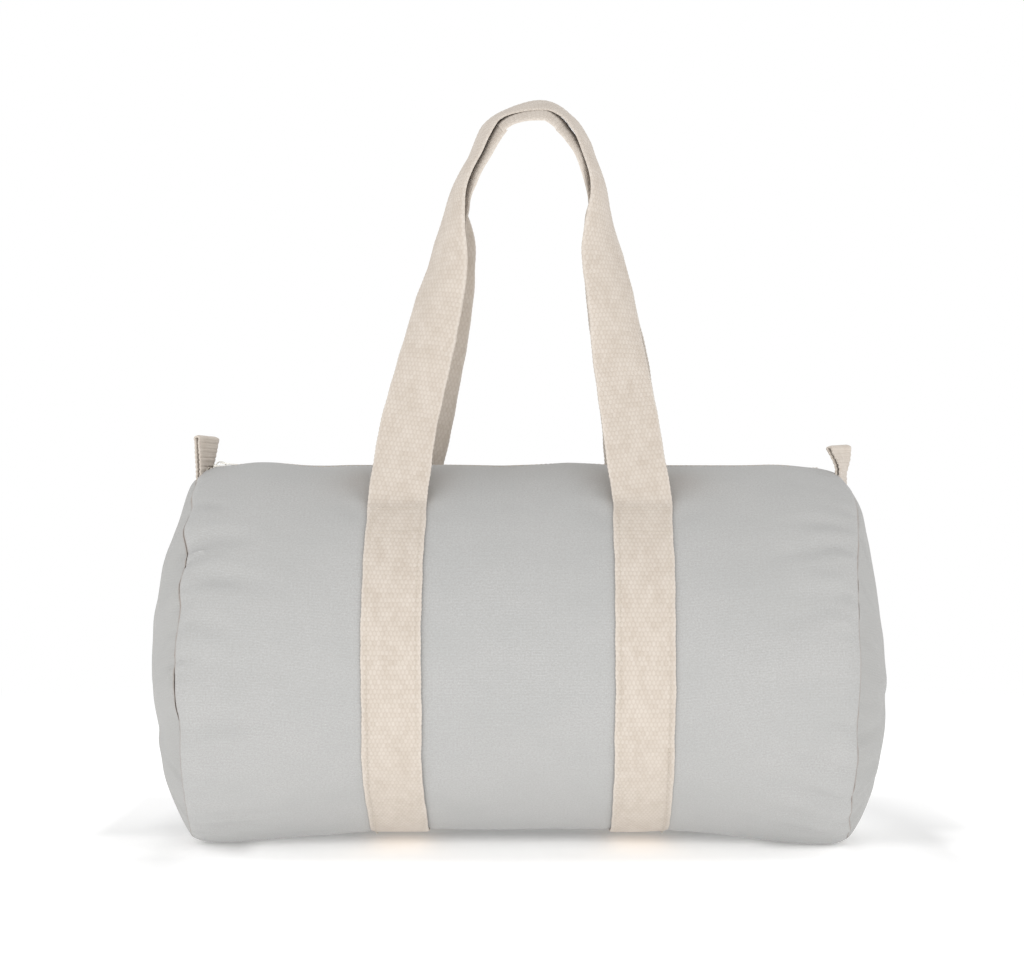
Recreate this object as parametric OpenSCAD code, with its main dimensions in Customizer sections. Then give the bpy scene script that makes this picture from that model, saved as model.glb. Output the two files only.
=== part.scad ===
// Barrel bag in cotton canvas with webbing handles, in millimetres.
// X runs along the barrel, the front faces -Y, Z is up, and the origin is on the
// floor under the middle of the bag. Angles around the barrel count from its top,
// 90 degrees at the front and 180 degrees underneath.

/* [Barrel] */
// Length of the barrel between its two end seams
barrel_length = 438; // [380:1:560]
// Height of the filled barrel
barrel_height = 252; // [220:1:300]
// Width of the filled barrel, front to back
barrel_width = 250; // [220:1:300]
// How far each end panel bulges past its seam
end_bulge = 25; // [12:1:40]
// How far the middle of the barrel stands off the floor
middle_lift = 9; // [3:0.5:14]
// How far the ends would sink below the floor if it did not flatten them
floor_press = 2.5; // [1.5:0.5:4]
// How much lower the end seams lie than the top of the barrel
shoulder_depth = 9; // [5:0.5:12]
// Length of the rounded shoulder beside each end seam
shoulder_length = 18; // [16:1:24]
// Thickness of the canvas
canvas_t = 1.5; // [1:0.1:2]

/* [Mouth and zip] */
// Half the width of the mouth, from the zip to the line where its panels fold
mouth_half = 46; // [36:1:52]
// Distance from the middle of the zip to the canvas edge on either side
zip_reveal = 8; // [7:0.5:10]
// Width of one zip tape from the teeth outwards
tape_w = 12; // [9:1:15]
// Thickness of the zip tape
tape_t = 0.8; // [0.5:0.1:1]
// Width of one row of teeth
teeth_w = 2.6; // [2:0.1:3]
// Height of the rows of teeth
teeth_h = 2.4; // [1.8:0.1:2.6]
// Length of the slider
slider_length = 11; // [9:0.5:12]
// Distance from the left seam to the middle of the closed slider
slider_parking = 19; // [17:0.5:22]
// Length of the pull from its pivot to its tip
pull_length = 20.5; // [16:0.5:24]

/* [Webbing] */
// Width of the handle webbing
webbing_w = 38; // [30:1:44]
// Thickness of the webbing
webbing_t = 2.2; // [1.6:0.1:2.6]
// Distance between the middles of the left and right straps
strap_spacing = 158; // [130:1:200]
// Angle down from the top at which the straps are sewn no further and the handles start
strap_angle = 37; // [33:1:42]

/* [Handles] */
// Height of the front handle's crown above the top of the barrel
handle_rise = 242; // [200:1:280]
// How far the crowns sit to the right of the middle of the bag
crown_sway = 14; // [0:1:20]
// How much lower the back handle's crown lies than the front one's
crown_drop = 8; // [6.9:0.1:9]
// Tilt of the front handle's crown towards the front
crown_tilt = 10; // [6:1:14]
// How far the back handle runs inside the front one beside the crown
back_inset = 5; // [5:0.5:8]
// Sideways lean of the back handle's left leg
back_lean_left = 6; // [0:0.5:10]
// Sideways lean of the back handle's right leg
back_lean_right = 2.5; // [0:0.5:10]

/* [Tabs] */
// Width of the tab webbing
tab_w = 25; // [20:1:30]
// Thickness of the tab webbing
tab_t = 2.4; // [1.6:0.1:2.6]
// Gap between the two layers of a tab
tab_gap = 2; // [1:0.1:3]
// How far the left tab stands above the shoulder
left_tab_height = 22; // [16:0.5:30]
// How far the right tab, which is sewn in deeper, stands above the shoulder
right_tab_height = 14; // [12:0.5:30]
// Distance from the end seam to the outer face of its tab
tab_inset = 2; // [1.5:0.5:3]

/* [Hidden] */

// Clearance between pieces that only lie on each other
seat = 0.3;
// Clearance between pieces that run past each other
running = 0.4;
half = barrel_length / 2;
half_width = barrel_width / 2;
strap_x = strap_spacing / 2;
full_turn = 360;
underneath = 180;
radian = 180 / PI;

canvas_colour = [0.78, 0.78, 0.77];
webbing_colour = [0.89, 0.85, 0.79];
tape_colour = [0.86, 0.83, 0.78];
metal_colour = [0.74, 0.73, 0.70];

// Barrel shape
// Share of extra width low on the barrel, where the filled cloth settles
belly = 0.03;
// Where the lifted middle starts to come down to the floor, and over what length
lift_half = 0.32 * half;
lift_fade = 0.55 * half;
// How far the bottom rises again at the end seams
seam_rise = 4;
// Steepness of the shoulder where it reaches the seam, below 1
shoulder_turn = 0.92;

function clamp01(t) = min(1, max(0, t));
function smooth(t) = let (c = clamp01(t)) c * c * (3 - 2 * c);
function shoulder(x) =
    let (s = clamp01((abs(x) - half + shoulder_length) / shoulder_length))
    (1 - sqrt(1 - pow(shoulder_turn * s, 2))) / (1 - sqrt(1 - pow(shoulder_turn, 2)));
function barrel_top(x) = barrel_height - shoulder_depth * shoulder(x);
function barrel_bottom(x) =
    let (down = smooth((abs(x) - lift_half) / lift_fade))
    middle_lift * (1 - down) - floor_press * down + seam_rise * shoulder(x);
function barrel_half_width(x) =
    half_width / (1 + belly * belly) - shoulder_depth * shoulder(x);

// A point of the barrel's skin, moved outwards by off; the floor flattens it
function skin(x, a, off = 0) =
    let (
        w = barrel_half_width(x),
        b = (barrel_top(x) - barrel_bottom(x)) / 2,
        middle = (barrel_top(x) + barrel_bottom(x)) / 2,
        y = -w * sin(a) * (1 - belly * cos(a)),
        z = middle + b * cos(a),
        n = [-b * sin(a), w * cos(a)] / norm([b * sin(a), w * cos(a)])
    )
    [x, y + off * n[0], max(z + off * n[1], max(0, -off))];

// The angle around the barrel at which the skin lies this far from the middle
function angle_at(y) = asin(y / (half_width * (1 - belly)));

zip_angle = angle_at(zip_reveal);
mouth_angle = angle_at(mouth_half);
// Angle that a short length covers on the barrel's skin
function arc_angle(length) = length / half_width * radian;

// Zip heights and places
tape_off = canvas_t + seat;
zip_z = barrel_height - tape_off - tape_t / 2;
teeth_y = 0.8;
teeth_edge = teeth_y + teeth_w;
slider_plate = 0.9;
slider_half_w = teeth_edge + 1.3;
slider_lip = 0.8;
slider_top = zip_z + teeth_h / 2 + seat + slider_plate;
tab_depth = 2 * tab_t + tab_gap;
tab_x0 = half - tab_inset - tab_depth;
// Gap between the tip of the pull and the right tab when the zip is open
pull_spare = 1.7;
slider_x0 = -(half - slider_parking);
slider_x1 = tab_x0 - pull_spare - pull_length;
mouth_margin = 2.5;
mouth_x0 = slider_x0 + slider_length / 2 + mouth_margin;
mouth_x1 = slider_x1 - slider_length / 2 - mouth_margin;
stop_length = 2;
// Room between a stop and the tab or slider beside it
stop_room = 0.6;
bottom_stop_room = 2;
stop_x0 = -(tab_x0 - stop_room - stop_length / 2);
stop_x1 = slider_x1 + (slider_length + stop_length) / 2 + bottom_stop_room;

// Sampling of the faceted shells. Pieces that lie on each other share their stations,
// so that their facets stay parallel.
around_step = 9;
mouth_steps = 3;
strap_out = strap_x + webbing_w / 2;
strap_in = strap_x - webbing_w / 2;

function spread(from, to, steps) = [for (i = [0:steps]) from + (to - from) * i / steps];
function reversed(list) = [for (i = [len(list) - 1:-1:0]) list[i]];

// Stations along one shoulder, from the straight barrel to the seam
SHOULDER = [for (s = [0, 0.35, 0.6, 0.78, 0.92, 1]) half - shoulder_length * (1 - s)];
BARREL_X = concat(
    reversed(-SHOULDER),
    spread(mouth_x0, -strap_out, 3), [-strap_x], spread(-strap_in, strap_in, 4),
    [strap_x], spread(strap_out, mouth_x1, 3),
    SHOULDER
);
side_steps = ceil((underneath - mouth_angle) / around_step);
SIDE_ANGLES = spread(mouth_angle, underneath, side_steps);
HALF_ANGLES = concat(
    [for (i = [0:mouth_steps - 1]) zip_angle + (mouth_angle - zip_angle) * i / mouth_steps],
    [for (i = [0:side_steps - 1]) SIDE_ANGLES[i]]
);
BARREL_ANGLES = concat(HALF_ANGLES, [underneath], reversed([for (a = HALF_ANGLES) full_turn - a]));
// The stations that lie between two ends, with the ends themselves
function between(from, to, stations) =
    concat([from], [for (s = stations) if (s > from + 0.5 && s < to - 0.5) s], [to]);

// Triangles of a quad whose corners run clockwise seen from outside
function quad(a, b, c, d) = [[a, b, c], [a, c, d]];

// A wall of cloth between two offsets of the skin, over the cells of a grid that keep() takes
module cloth(xs, as, outer, inner, keep = function (x, a) true, closed = false) {
    nx = len(xs);
    na = len(as);
    cells_a = closed ? na : na - 1;
    wrap = function (j) closed ? (j + na) % na : j;
    middle_a = function (j) (as[j] + (j + 1 < na ? as[j + 1] : as[0] + full_turn)) / 2;
    kept = function (i, j)
        i >= 0 && i < nx - 1 && (closed || (j >= 0 && j < cells_a))
        && keep((xs[i] + xs[i + 1]) / 2, middle_a(wrap(j)));
    o = function (i, j) i * na + wrap(j);
    n = function (i, j) nx * na + o(i, j);
    points = [for (off = [outer, inner]) for (x = xs) for (a = as) skin(x, a, off)];
    faces = [
        for (i = [0:nx - 2]) for (j = [0:cells_a - 1]) if (kept(i, j))
            each concat(
                quad(o(i, j), o(i + 1, j), o(i + 1, j + 1), o(i, j + 1)),
                quad(n(i, j), n(i, j + 1), n(i + 1, j + 1), n(i + 1, j)),
                kept(i - 1, j) ? [] : quad(o(i, j), o(i, j + 1), n(i, j + 1), n(i, j)),
                kept(i + 1, j) ? []
                    : quad(o(i + 1, j + 1), o(i + 1, j), n(i + 1, j), n(i + 1, j + 1)),
                kept(i, j - 1) ? [] : quad(o(i + 1, j), o(i, j), n(i, j), n(i + 1, j)),
                kept(i, j + 1) ? []
                    : quad(o(i, j + 1), o(i + 1, j + 1), n(i + 1, j + 1), n(i, j + 1))
            )
    ];
    polyhedron(points = points, faces = faces, convexity = 10);
}

// Body panel
module body_panel() {
    color(canvas_colour)
    cloth(
        BARREL_X, BARREL_ANGLES, 0, -canvas_t,
        keep = function (x, a)
            x < mouth_x0 || x > mouth_x1
            || (a > mouth_angle && a < full_turn - mouth_angle)
    );
}

// One mouth panel: the canvas strip between the zip and the line where it folds
module mouth_panel(side) {
    low = zip_angle;
    high = mouth_angle - arc_angle(seat);
    as = side > 0 ? between(low, high, BARREL_ANGLES)
        : between(full_turn - high, full_turn - low, BARREL_ANGLES);
    color(canvas_colour)
    cloth(between(mouth_x0 + seat, mouth_x1 - seat, BARREL_X), as, 0, -canvas_t);
}
module front_mouth_panel() { mouth_panel(1); }
module back_mouth_panel() { mouth_panel(-1); }

// End panels
// Height of the middle of the bulge and how fast it rounds off towards the seam
bulge_height = 0.43 * barrel_height;
bulge_power = 1.95;
dome_rings = 8;
dome_sides = 40;
seam_y = barrel_half_width(half);
seam_b = (barrel_top(half) - barrel_bottom(half)) / 2;
seam_middle = (barrel_top(half) + barrel_bottom(half)) / 2;

// A point of the right end panel; r is 1 at the seam and 0 at the middle
function dome(r, a) = [
    half + seat + end_bulge * (1 - pow(r, bulge_power)),
    -seam_y * r * sin(a) * (1 - belly * cos(a)),
    bulge_height + (seam_middle - bulge_height) * r * r + seam_b * r * cos(a)
];
function dome_normal(r, a) =
    let (
        step = 0.02,
        across = dome(r, a) - dome(r - step, a),
        around = dome(r, a + 1) - dome(r, a - 1),
        n = cross(across, around)
    )
    n / norm(n) * (n[0] < 0 ? -1 : 1);

// The inner face, which stays outside the end of the barrel at its rim
function dome_inside(r, a) =
    let (p = dome(r, a) - canvas_t * dome_normal(r, a))
    [max(p[0], half + seat), p[1], p[2]];

module end_panel() {
    radii = [for (k = [0:dome_rings - 1]) 1 - pow(k / dome_rings, 1.15)];
    rim = len(radii) * dome_sides;
    o = function (i, j) i * dome_sides + (j + dome_sides) % dome_sides;
    n = function (i, j) rim + o(i, j);
    turn = full_turn / dome_sides;
    outside = [for (r = radii) for (j = [0:dome_sides - 1]) dome(r, j * turn)];
    inside = [for (r = radii) for (j = [0:dome_sides - 1]) dome_inside(r, j * turn)];
    crown = dome(0, 0);
    points = concat(outside, inside, [crown, crown - [canvas_t, 0, 0]]);
    last = len(radii) - 1;
    faces = [for (j = [0:dome_sides - 1]) each concat(
        [for (i = [0:last - 1]) each concat(
            quad(o(i, j), o(i + 1, j), o(i + 1, j + 1), o(i, j + 1)),
            quad(n(i, j), n(i, j + 1), n(i + 1, j + 1), n(i + 1, j))
        )],
        quad(o(0, j), o(0, j + 1), n(0, j + 1), n(0, j)),
        [[o(last, j + 1), o(last, j), 2 * rim], [n(last, j), n(last, j + 1), 2 * rim + 1]]
    )];
    color(canvas_colour)
    polyhedron(points = points, faces = faces, convexity = 10);
}
module right_end_panel() { end_panel(); }
module left_end_panel() { mirror([1, 0, 0]) end_panel(); }

// Binding tape over the raw seam allowance inside each end seam
binding_w = 10;
binding_t = 2.7;
// Distance from the seam to the binding's outer face
binding_inset = 1.8;
binding_x1 = half - binding_inset;
binding_x0 = binding_x1 - binding_t;

module seam_binding(side) {
    color(tape_colour)
    cloth(
        side > 0 ? [binding_x0, binding_x1] : [-binding_x1, -binding_x0],
        BARREL_ANGLES,
        -tape_off, -tape_off - binding_w,
        closed = true
    );
}
module right_seam_binding() { seam_binding(1); }
module left_seam_binding() { seam_binding(-1); }

// Zip
module tape(x0, x1, side) {
    low = angle_at(teeth_edge + seat / 2);
    high = angle_at(teeth_edge + tape_w);
    as = side > 0 ? spread(low, high, 2) : spread(full_turn - high, full_turn - low, 2);
    color(tape_colour)
    cloth(between(x0, x1, BARREL_X), as, -tape_off, -tape_off - tape_t);
}

// One straight row of teeth; side is 1 at the front and -1 at the back
module teeth(x0, x1, side) {
    color(tape_colour)
    translate([x0, side > 0 ? -teeth_edge : teeth_y, zip_z - teeth_h / 2])
    cube([x1 - x0, teeth_w, teeth_h]);
}

module zip_tape_front() { tape(mouth_x0 + seat, mouth_x1 - seat, 1); }
module zip_tape_back() { tape(mouth_x0 + seat, mouth_x1 - seat, -1); }
module zip_teeth_front() { teeth(mouth_x0 + seat, mouth_x1 - seat, 1); }
module zip_teeth_back() { teeth(mouth_x0 + seat, mouth_x1 - seat, -1); }

// The two short ends of the chain stay sewn to the barrel
module zip_end_left() {
    for (side = [-1, 1]) {
        tape(-binding_x0 + seat, mouth_x0 - seat, side);
        teeth(stop_x0 + stop_length / 2 + seat, mouth_x0 - seat, side);
    }
}
module zip_end_right() {
    for (side = [-1, 1]) {
        tape(mouth_x1 + seat, binding_x0 - seat, side);
        teeth(mouth_x1 + seat, stop_x1 - stop_length / 2 - seat, side);
    }
}

module zip_top_stops() {
    for (side = [-1, 1]) teeth_stop(stop_x0, side);
}
module teeth_stop(x, side) {
    color(metal_colour)
    translate([x - stop_length / 2, side > 0 ? -teeth_edge : teeth_y, zip_z - teeth_h / 2])
    cube([stop_length, teeth_w, teeth_h]);
}
module zip_bottom_stop() {
    color(metal_colour)
    translate([stop_x1 - stop_length / 2, -teeth_edge, zip_z - teeth_h / 2])
    cube([stop_length, 2 * teeth_edge, teeth_h]);
}

// Slider: two plates joined by a post that runs between the rows, with a bridge on top
bridge_r = 3.6;
bridge_hole_r = 2.6;
bridge_w = 2.4;
// How far the middle of the bridge's ring lies below the slider's top
bridge_sunk = 1;
bridge_z = slider_top - bridge_sunk;
post_w = 2 * teeth_y - 2 * seat;
// Overlap by which the slider's lips grow into its plates
lip_root = 0.1;
// Extra room under the tapes, which dip towards the shoulder
under_room = 0.6;

module slider_plate_at(z, lip_z) {
    translate([-slider_length / 2, -slider_half_w, z])
    cube([slider_length, 2 * slider_half_w, slider_plate]);
    for (side = [-1, 1])
        translate([-slider_length / 2, side * (slider_half_w - slider_lip / 2) - slider_lip / 2,
            lip_z])
        cube([slider_length, slider_lip, slider_plate + lip_root]);
}

module zip_slider() {
    plate_z = slider_top - slider_plate;
    under_z = 2 * zip_z - slider_top - under_room;
    lip = zip_z + tape_t / 2 + running;
    color(metal_colour)
    translate([slider_x0, 0, 0]) {
        slider_plate_at(plate_z, lip);
        slider_plate_at(under_z, under_z);
        translate([-slider_length / 2, -post_w / 2, under_z])
        cube([slider_length / 4, post_w, slider_top - under_z]);
        intersection() {
            translate([0, 0, bridge_z])
            rotate([90, 0, 0])
            difference() {
                cylinder(h = bridge_w, r = bridge_r, center = true, $fn = 48);
                cylinder(h = 2 * bridge_w, r = bridge_hole_r, center = true, $fn = 48);
            }
            translate([-bridge_r - 1, -bridge_w, slider_top - slider_plate / 2])
            cube([2 * bridge_r + 2, 2 * bridge_w, 2 * bridge_r]);
        }
    }
}

// Pull: a bar under the bridge, two arms beside it and a flat tongue
pull_half_w = 3.2;
pull_t = 0.9;
pull_bar_d = 1.1;
pull_arm = 6;
pull_slot_half = bridge_w / 2 + 0.6;
pull_hole_r = 1.3;
pull_hole_inset = 0.6;
// Clearance under the pull's bar where it lies on the slider
bar_lift = 0.2;
pull_z = slider_top + bar_lift + pull_bar_d / 2;

module zip_pull() {
    color(metal_colour)
    translate([slider_x0, 0, pull_z]) {
        rotate([90, 0, 0])
        cylinder(h = 2 * pull_half_w, d = pull_bar_d, center = true, $fn = 32);
        translate([0, 0, -pull_t / 2])
        linear_extrude(height = pull_t)
        difference() {
            union() {
                translate([0, -pull_half_w])
                square([pull_length - pull_half_w, 2 * pull_half_w]);
                translate([pull_length - pull_half_w, 0])
                circle(r = pull_half_w, $fn = 48);
            }
            translate([-1, -pull_slot_half])
            square([pull_arm + 1, 2 * pull_slot_half]);
            translate([pull_length - pull_half_w - pull_hole_inset, 0])
            circle(r = pull_hole_r, $fn = 32);
        }
    }
}

// Straps sewn to the barrel
module strap(x, back) {
    low = strap_angle;
    high = underneath - arc_angle(seat / 2);
    as = back ? between(full_turn - high, full_turn - low, BARREL_ANGLES)
        : between(low, high, BARREL_ANGLES);
    color(webbing_colour)
    cloth([x - webbing_w / 2, x, x + webbing_w / 2], as, seat + webbing_t, seat);
}
module front_strap_left() { strap(-strap_x, false); }
module front_strap_right() { strap(strap_x, false); }
module back_strap_left() { strap(-strap_x, true); }
module back_strap_right() { strap(strap_x, true); }

// Handles
// The hinge line runs along the outer face of the sewn straps' upper ends
hinge_point = skin(strap_x, strap_angle, seat + webbing_t);
hinge_y = -hinge_point[1];
hinge_z = hinge_point[2];
crown_z = barrel_height + handle_rise;
front_crown_y = -3;
back_crown_y = 4.5;
// How far the handle's inner face stands off its hinge line
hinge_lift = 0.1;
// Roll at which the front handle's crown would lie level, and its roll with its tilt
level_roll = 90 - atan((hinge_y + front_crown_y) / (crown_z - hinge_z));
crown_roll = level_roll - crown_tilt;

// Half of a handle's course, as shares of its rise and of its half spread, with the
// roll of the webbing in degrees: flat against the bag at the foot, on edge beside the
// crown. The other half is its mirror image.
COURSE = [
    [0, 1, 0], [0.16, 0.925, 3], [0.34, 0.8, 13], [0.5, 0.7, 32], [0.6, 0.648, 48],
    [0.7, 0.605, 66], [0.78, 0.575, 75], [0.86, 0.5, 74], [0.93, 0.39, 70],
    [0.975, 0.26, 66], [1, 0, crown_roll]
];
// Share of the rise over which the webbing turns from the line of its strap's end
foot_share = 0.1;
// Extra roll of the back handle beside its crown
back_extra_roll = 14;
// Share of the rise from which the back handle draws inside the front one, and over
// which it does so
inset_from = 0.65;
inset_over = 0.2;
// Share of the half spread at which the back handle's inset is measured
inset_at = 0.46;
// Share of the rise over which the back handle leans away from its foot, and the share
// of that lean that is gone halfway up
lean_over = 0.12;
lean_fade = 0.5;
crown_ends = len(COURSE) - 1;
course_steps = 3;

// One handle as a route of [x, share of rise, roll]; drop, inset and lean are 0 in front
function course_point(k, back) =
    let (
        side = k < crown_ends ? -1 : 1,
        c = COURSE[k <= crown_ends ? k : 2 * crown_ends - k],
        inset = back ? smooth((c[0] - inset_from) / inset_over) : 0,
        lean = !back ? 0 : side < 0 ? back_lean_left : back_lean_right,
        half_spread = c[1] * (strap_x - side * crown_sway)
            * (1 - inset * back_inset / (inset_at * strap_x)),
        leaning = smooth(c[0] / lean_over) * (1 - 2 * lean_fade * c[0]) * (1 - inset)
    )
    [crown_sway + side * half_spread + lean * leaning, c[0], c[2] + back_extra_roll * inset];

function catmull(p0, p1, p2, p3, t) =
    0.5 * (2 * p1 + (p2 - p0) * t + (2 * p0 - 5 * p1 + 4 * p2 - p3) * t * t
        + (3 * p1 - p0 - 3 * p2 + p3) * t * t * t);

module handle(back) {
    top_z = crown_z - (back ? crown_drop : 0);
    crown_y = back ? -back_crown_y : front_crown_y;
    rise = [0, crown_y + hinge_y, top_z - hinge_z];
    up = rise / norm(rise);
    away = cross(up, [1, 0, 0]);
    foot = [0, -hinge_y, hinge_z] + (webbing_t / 2 + hinge_lift) * away + running * up;
    last = 2 * crown_ends;
    p = function (k)
        k < 0 ? 2 * course_point(0, back) - course_point(1, back)
        : k > last ? 2 * course_point(last, back) - course_point(last - 1, back)
        : course_point(k, back);
    place = function (c) foot + [c[0], 0, 0] + c[1] * (norm(rise) - running) * up;
    samples = [for (k = [0:last - 1]) for (s = [0:course_steps - 1])
        catmull(p(k - 1), p(k), p(k + 1), p(k + 2), s / course_steps)];
    route = concat(samples, [p(last)]);
    rings = len(route);
    points = [for (i = [0:rings - 1]) let (
        here = place(route[i]),
        way = place(route[min(i + 1, rings - 1)]) - place(route[max(i - 1, 0)]),
        along = way / norm(way),
        radial = cross(along, away),
        roll = route[i][2],
        rolled = radial * cos(roll) + away * sin(roll),
        squared = 1 - smooth(route[i][1] / foot_share),
        across = rolled + squared * ([sign(rolled[0]), 0, 0] - rolled),
        normal = cross(along, across) / norm(cross(along, across))
    ) each [for (c = [[1, 1], [-1, 1], [-1, -1], [1, -1]])
        here + c[0] * webbing_w / 2 * across + c[1] * webbing_t / 2 * normal]];
    v = function (i, c) i * 4 + c % 4;
    faces = concat(
        [[0, 1, 2], [0, 2, 3]],
        [for (i = [0:rings - 2]) for (c = [0:3])
            each quad(v(i, c), v(i + 1, c), v(i + 1, c + 1), v(i, c + 1))],
        [[v(rings - 1, 3), v(rings - 1, 2), v(rings - 1, 1)],
         [v(rings - 1, 3), v(rings - 1, 1), v(rings - 1, 0)]]
    );
    color(webbing_colour)
    polyhedron(points = points, faces = faces, convexity = 10);
}
module front_handle() { handle(false); }
module back_handle() { mirror([0, 1, 0]) handle(true); }

// Tabs
// Side view of the right tab: a folded strip whose base follows the shoulder
module tab_outline(height) {
    top_z = barrel_top(tab_x0) + height;
    bend_z = top_z - tab_depth / 2;
    base = barrel_height - shoulder_depth;
    difference() {
        union() {
            translate([tab_x0, base])
            square([tab_depth, bend_z - base]);
            translate([tab_x0 + tab_depth / 2, bend_z])
            circle(d = tab_depth, $fn = 64);
        }
        translate([tab_x0 + tab_t, base - 1])
        square([tab_gap, bend_z - base + 1]);
        translate([tab_x0 + tab_depth / 2, bend_z])
        circle(d = tab_gap, $fn = 32);
        polygon(concat(
            [[tab_x0 + tab_depth + 1, base - 2], [tab_x0 - 1, base - 2]],
            [for (x = spread(tab_x0 - 1, tab_x0 + tab_depth + 1, 8)) [x, barrel_top(x) + seat]]
        ));
    }
}
module tab(height) {
    color(webbing_colour)
    translate([0, tab_w / 2, 0])
    rotate([90, 0, 0])
    linear_extrude(height = tab_w)
    tab_outline(height);
}
module right_tab() { tab(right_tab_height); }
module left_tab() { mirror([1, 0, 0]) tab(left_tab_height); }

body_panel();
left_end_panel();
right_end_panel();
left_seam_binding();
right_seam_binding();
front_mouth_panel();
back_mouth_panel();
zip_tape_front();
zip_tape_back();
zip_teeth_front();
zip_teeth_back();
zip_end_left();
zip_end_right();
zip_top_stops();
zip_bottom_stop();
zip_slider();
zip_pull();
front_strap_left();
front_strap_right();
back_strap_left();
back_strap_right();
front_handle();
back_handle();
left_tab();
right_tab();
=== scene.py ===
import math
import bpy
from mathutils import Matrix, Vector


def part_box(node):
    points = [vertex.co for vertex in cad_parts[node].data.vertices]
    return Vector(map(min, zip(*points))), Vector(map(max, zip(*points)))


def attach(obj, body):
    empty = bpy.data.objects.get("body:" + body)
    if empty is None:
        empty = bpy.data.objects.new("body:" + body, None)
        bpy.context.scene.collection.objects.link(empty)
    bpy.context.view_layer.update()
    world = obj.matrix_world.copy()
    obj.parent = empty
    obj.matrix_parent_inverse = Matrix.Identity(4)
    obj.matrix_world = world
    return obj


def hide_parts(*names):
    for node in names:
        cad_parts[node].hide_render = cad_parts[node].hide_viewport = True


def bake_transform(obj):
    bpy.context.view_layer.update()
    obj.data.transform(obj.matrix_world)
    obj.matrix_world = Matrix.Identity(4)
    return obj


bl_info = {
    "name": "Barrel Bag",
    "version": (1, 0, 0),
    "blender": (4, 5, 0),
    "location": "View3D > Sidebar > Barrel Bag",
    "description": "Builds the canvas, webbing and zip of a barrel bag around its packed frame",
    "category": "Add Mesh",
}

import bmesh
import bpy
import numpy as np

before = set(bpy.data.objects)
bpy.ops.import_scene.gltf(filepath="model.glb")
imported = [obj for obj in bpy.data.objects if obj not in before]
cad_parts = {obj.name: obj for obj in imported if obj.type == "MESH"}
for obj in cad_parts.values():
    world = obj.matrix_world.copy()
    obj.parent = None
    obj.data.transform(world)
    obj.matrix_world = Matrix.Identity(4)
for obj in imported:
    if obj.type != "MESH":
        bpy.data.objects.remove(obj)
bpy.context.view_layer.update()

MM = 0.001
TURN = 2 * math.pi

# The barrel as the frame has it, in millimetres: HALF is half its length and HALF_WIDTH half
# its depth. Angles run around it from its top: a quarter turn at the front and half a turn
# underneath.
HALF = 219.0
HALF_WIDTH = 125.0
# Once around the barrel, as the folds count it
AROUND = 785.4
HEIGHT = 252.0
BELLY = 0.03
# How the barrel rounds off towards its ends, and how it stands on the floor at both ends
SHOULDER_DROP = 9.0
SHOULDER_LENGTH = 18.0
SHOULDER_TURN = 0.92
MIDDLE_LIFT = 9.0
FLOOR_PRESS = 2.5
SEAM_RISE = 4.0
SEAM_GAP = 0.02
SEAM_TILT = math.radians(62)
# How far the end panels stand out, at which height most, and how round they are
END_BULGE = 25.0
BULGE_HEIGHT = 0.43 * HEIGHT
BULGE_POWER = 1.95

# The mouth that opens beside the zip, and the zip
MOUTH_X0, MOUTH_X1 = -192.0, 180.0
# Where each half of the mouth starts to lift and where it has lifted fully; the left one
# starts where the pull of the closed zip ends
BEND_RUNS = {"left": (-176.0, -88.0), "right": (MOUTH_X1, 80.0)}
ZIP_EDGE = 8.0
FOLD_EDGE = 46.0
FOLD_Y, FOLD_Z = 46.0649, 242.917
ZIP_Z = 248.95
SLIDER_TOP = 251.5
SLIDER_X = -200.0
PULL_Z = 252.95
TEETH_Y, TEETH_W = 0.8, 2.6

# The straps, the line where they become handles, the tabs, and the sewing thread's thickness
STRAP_X = 79.0
WEB_HALF = 19.0
STRAP_TOP = math.radians(37)
HINGE_Y, HINGE_Z = 74.8373, 229.532
TAB_HINGE_X, TAB_HINGE_Z = 217.0, 246.018
TAB_FLOOR = 246.0
THREAD = 0.62

# Half of a handle's course: share of its rise, share of its half spread, roll in degrees
COURSE = (
    (0, 1, 0), (0.16, 0.925, 3), (0.34, 0.8, 13), (0.5, 0.7, 32), (0.6, 0.648, 48),
    (0.7, 0.605, 66), (0.78, 0.575, 75), (0.86, 0.5, 74), (0.93, 0.39, 70),
    (0.975, 0.26, 66),
)
# The handles' feet beside their hinge, their crowns, and how the back handle differs
FOOT_OUT, FOOT_UP = 1.2, 0.4
CROWN_Z, CROWN_SWAY, CROWN_TILT = 493.6, 14.0, 15.0
CROWN_DROP = 5.4
CROWN_Y = {"front": -3.0, "back": -4.5}
BACK_INSET, BACK_ROLL = 5.0, 30.0
BACK_LEAN = {-1: 6.0, 1: 2.5}

# Where the photo's camera stands, for the edge of the back handle that it sees
CAMERA_AWAY, CAMERA_X, CAMERA_Z = 2000.0, -5.0, 243.0

# Where the back handle comes to lie under the front one on either leg, by share of the
# rise, and how far under it and in front of it then lies, in millimetres
JOIN = {-1: (0.60, 0.82), 1: (0.66, 0.86)}
UNDER = {
    -1: ((0.6, 2.9), (0.7, 3.4), (0.76, 4.8), (0.8, 5.2), (0.93, 5.0), (0.97, 4.2), (0.99, 3.0),
         (1, 2.9)),
    1: ((0.6, 2.9), (0.8, 2.9), (0.86, 3.6), (0.9, 5.2), (0.94, 5.6), (0.97, 4.6), (0.99, 3.2),
        (1, 2.9)),
}
AHEAD = ((0.55, 0.0), (0.78, 0.0), (0.88, 5.0), (0.95, 9.0), (1.0, 13.0))

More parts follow.
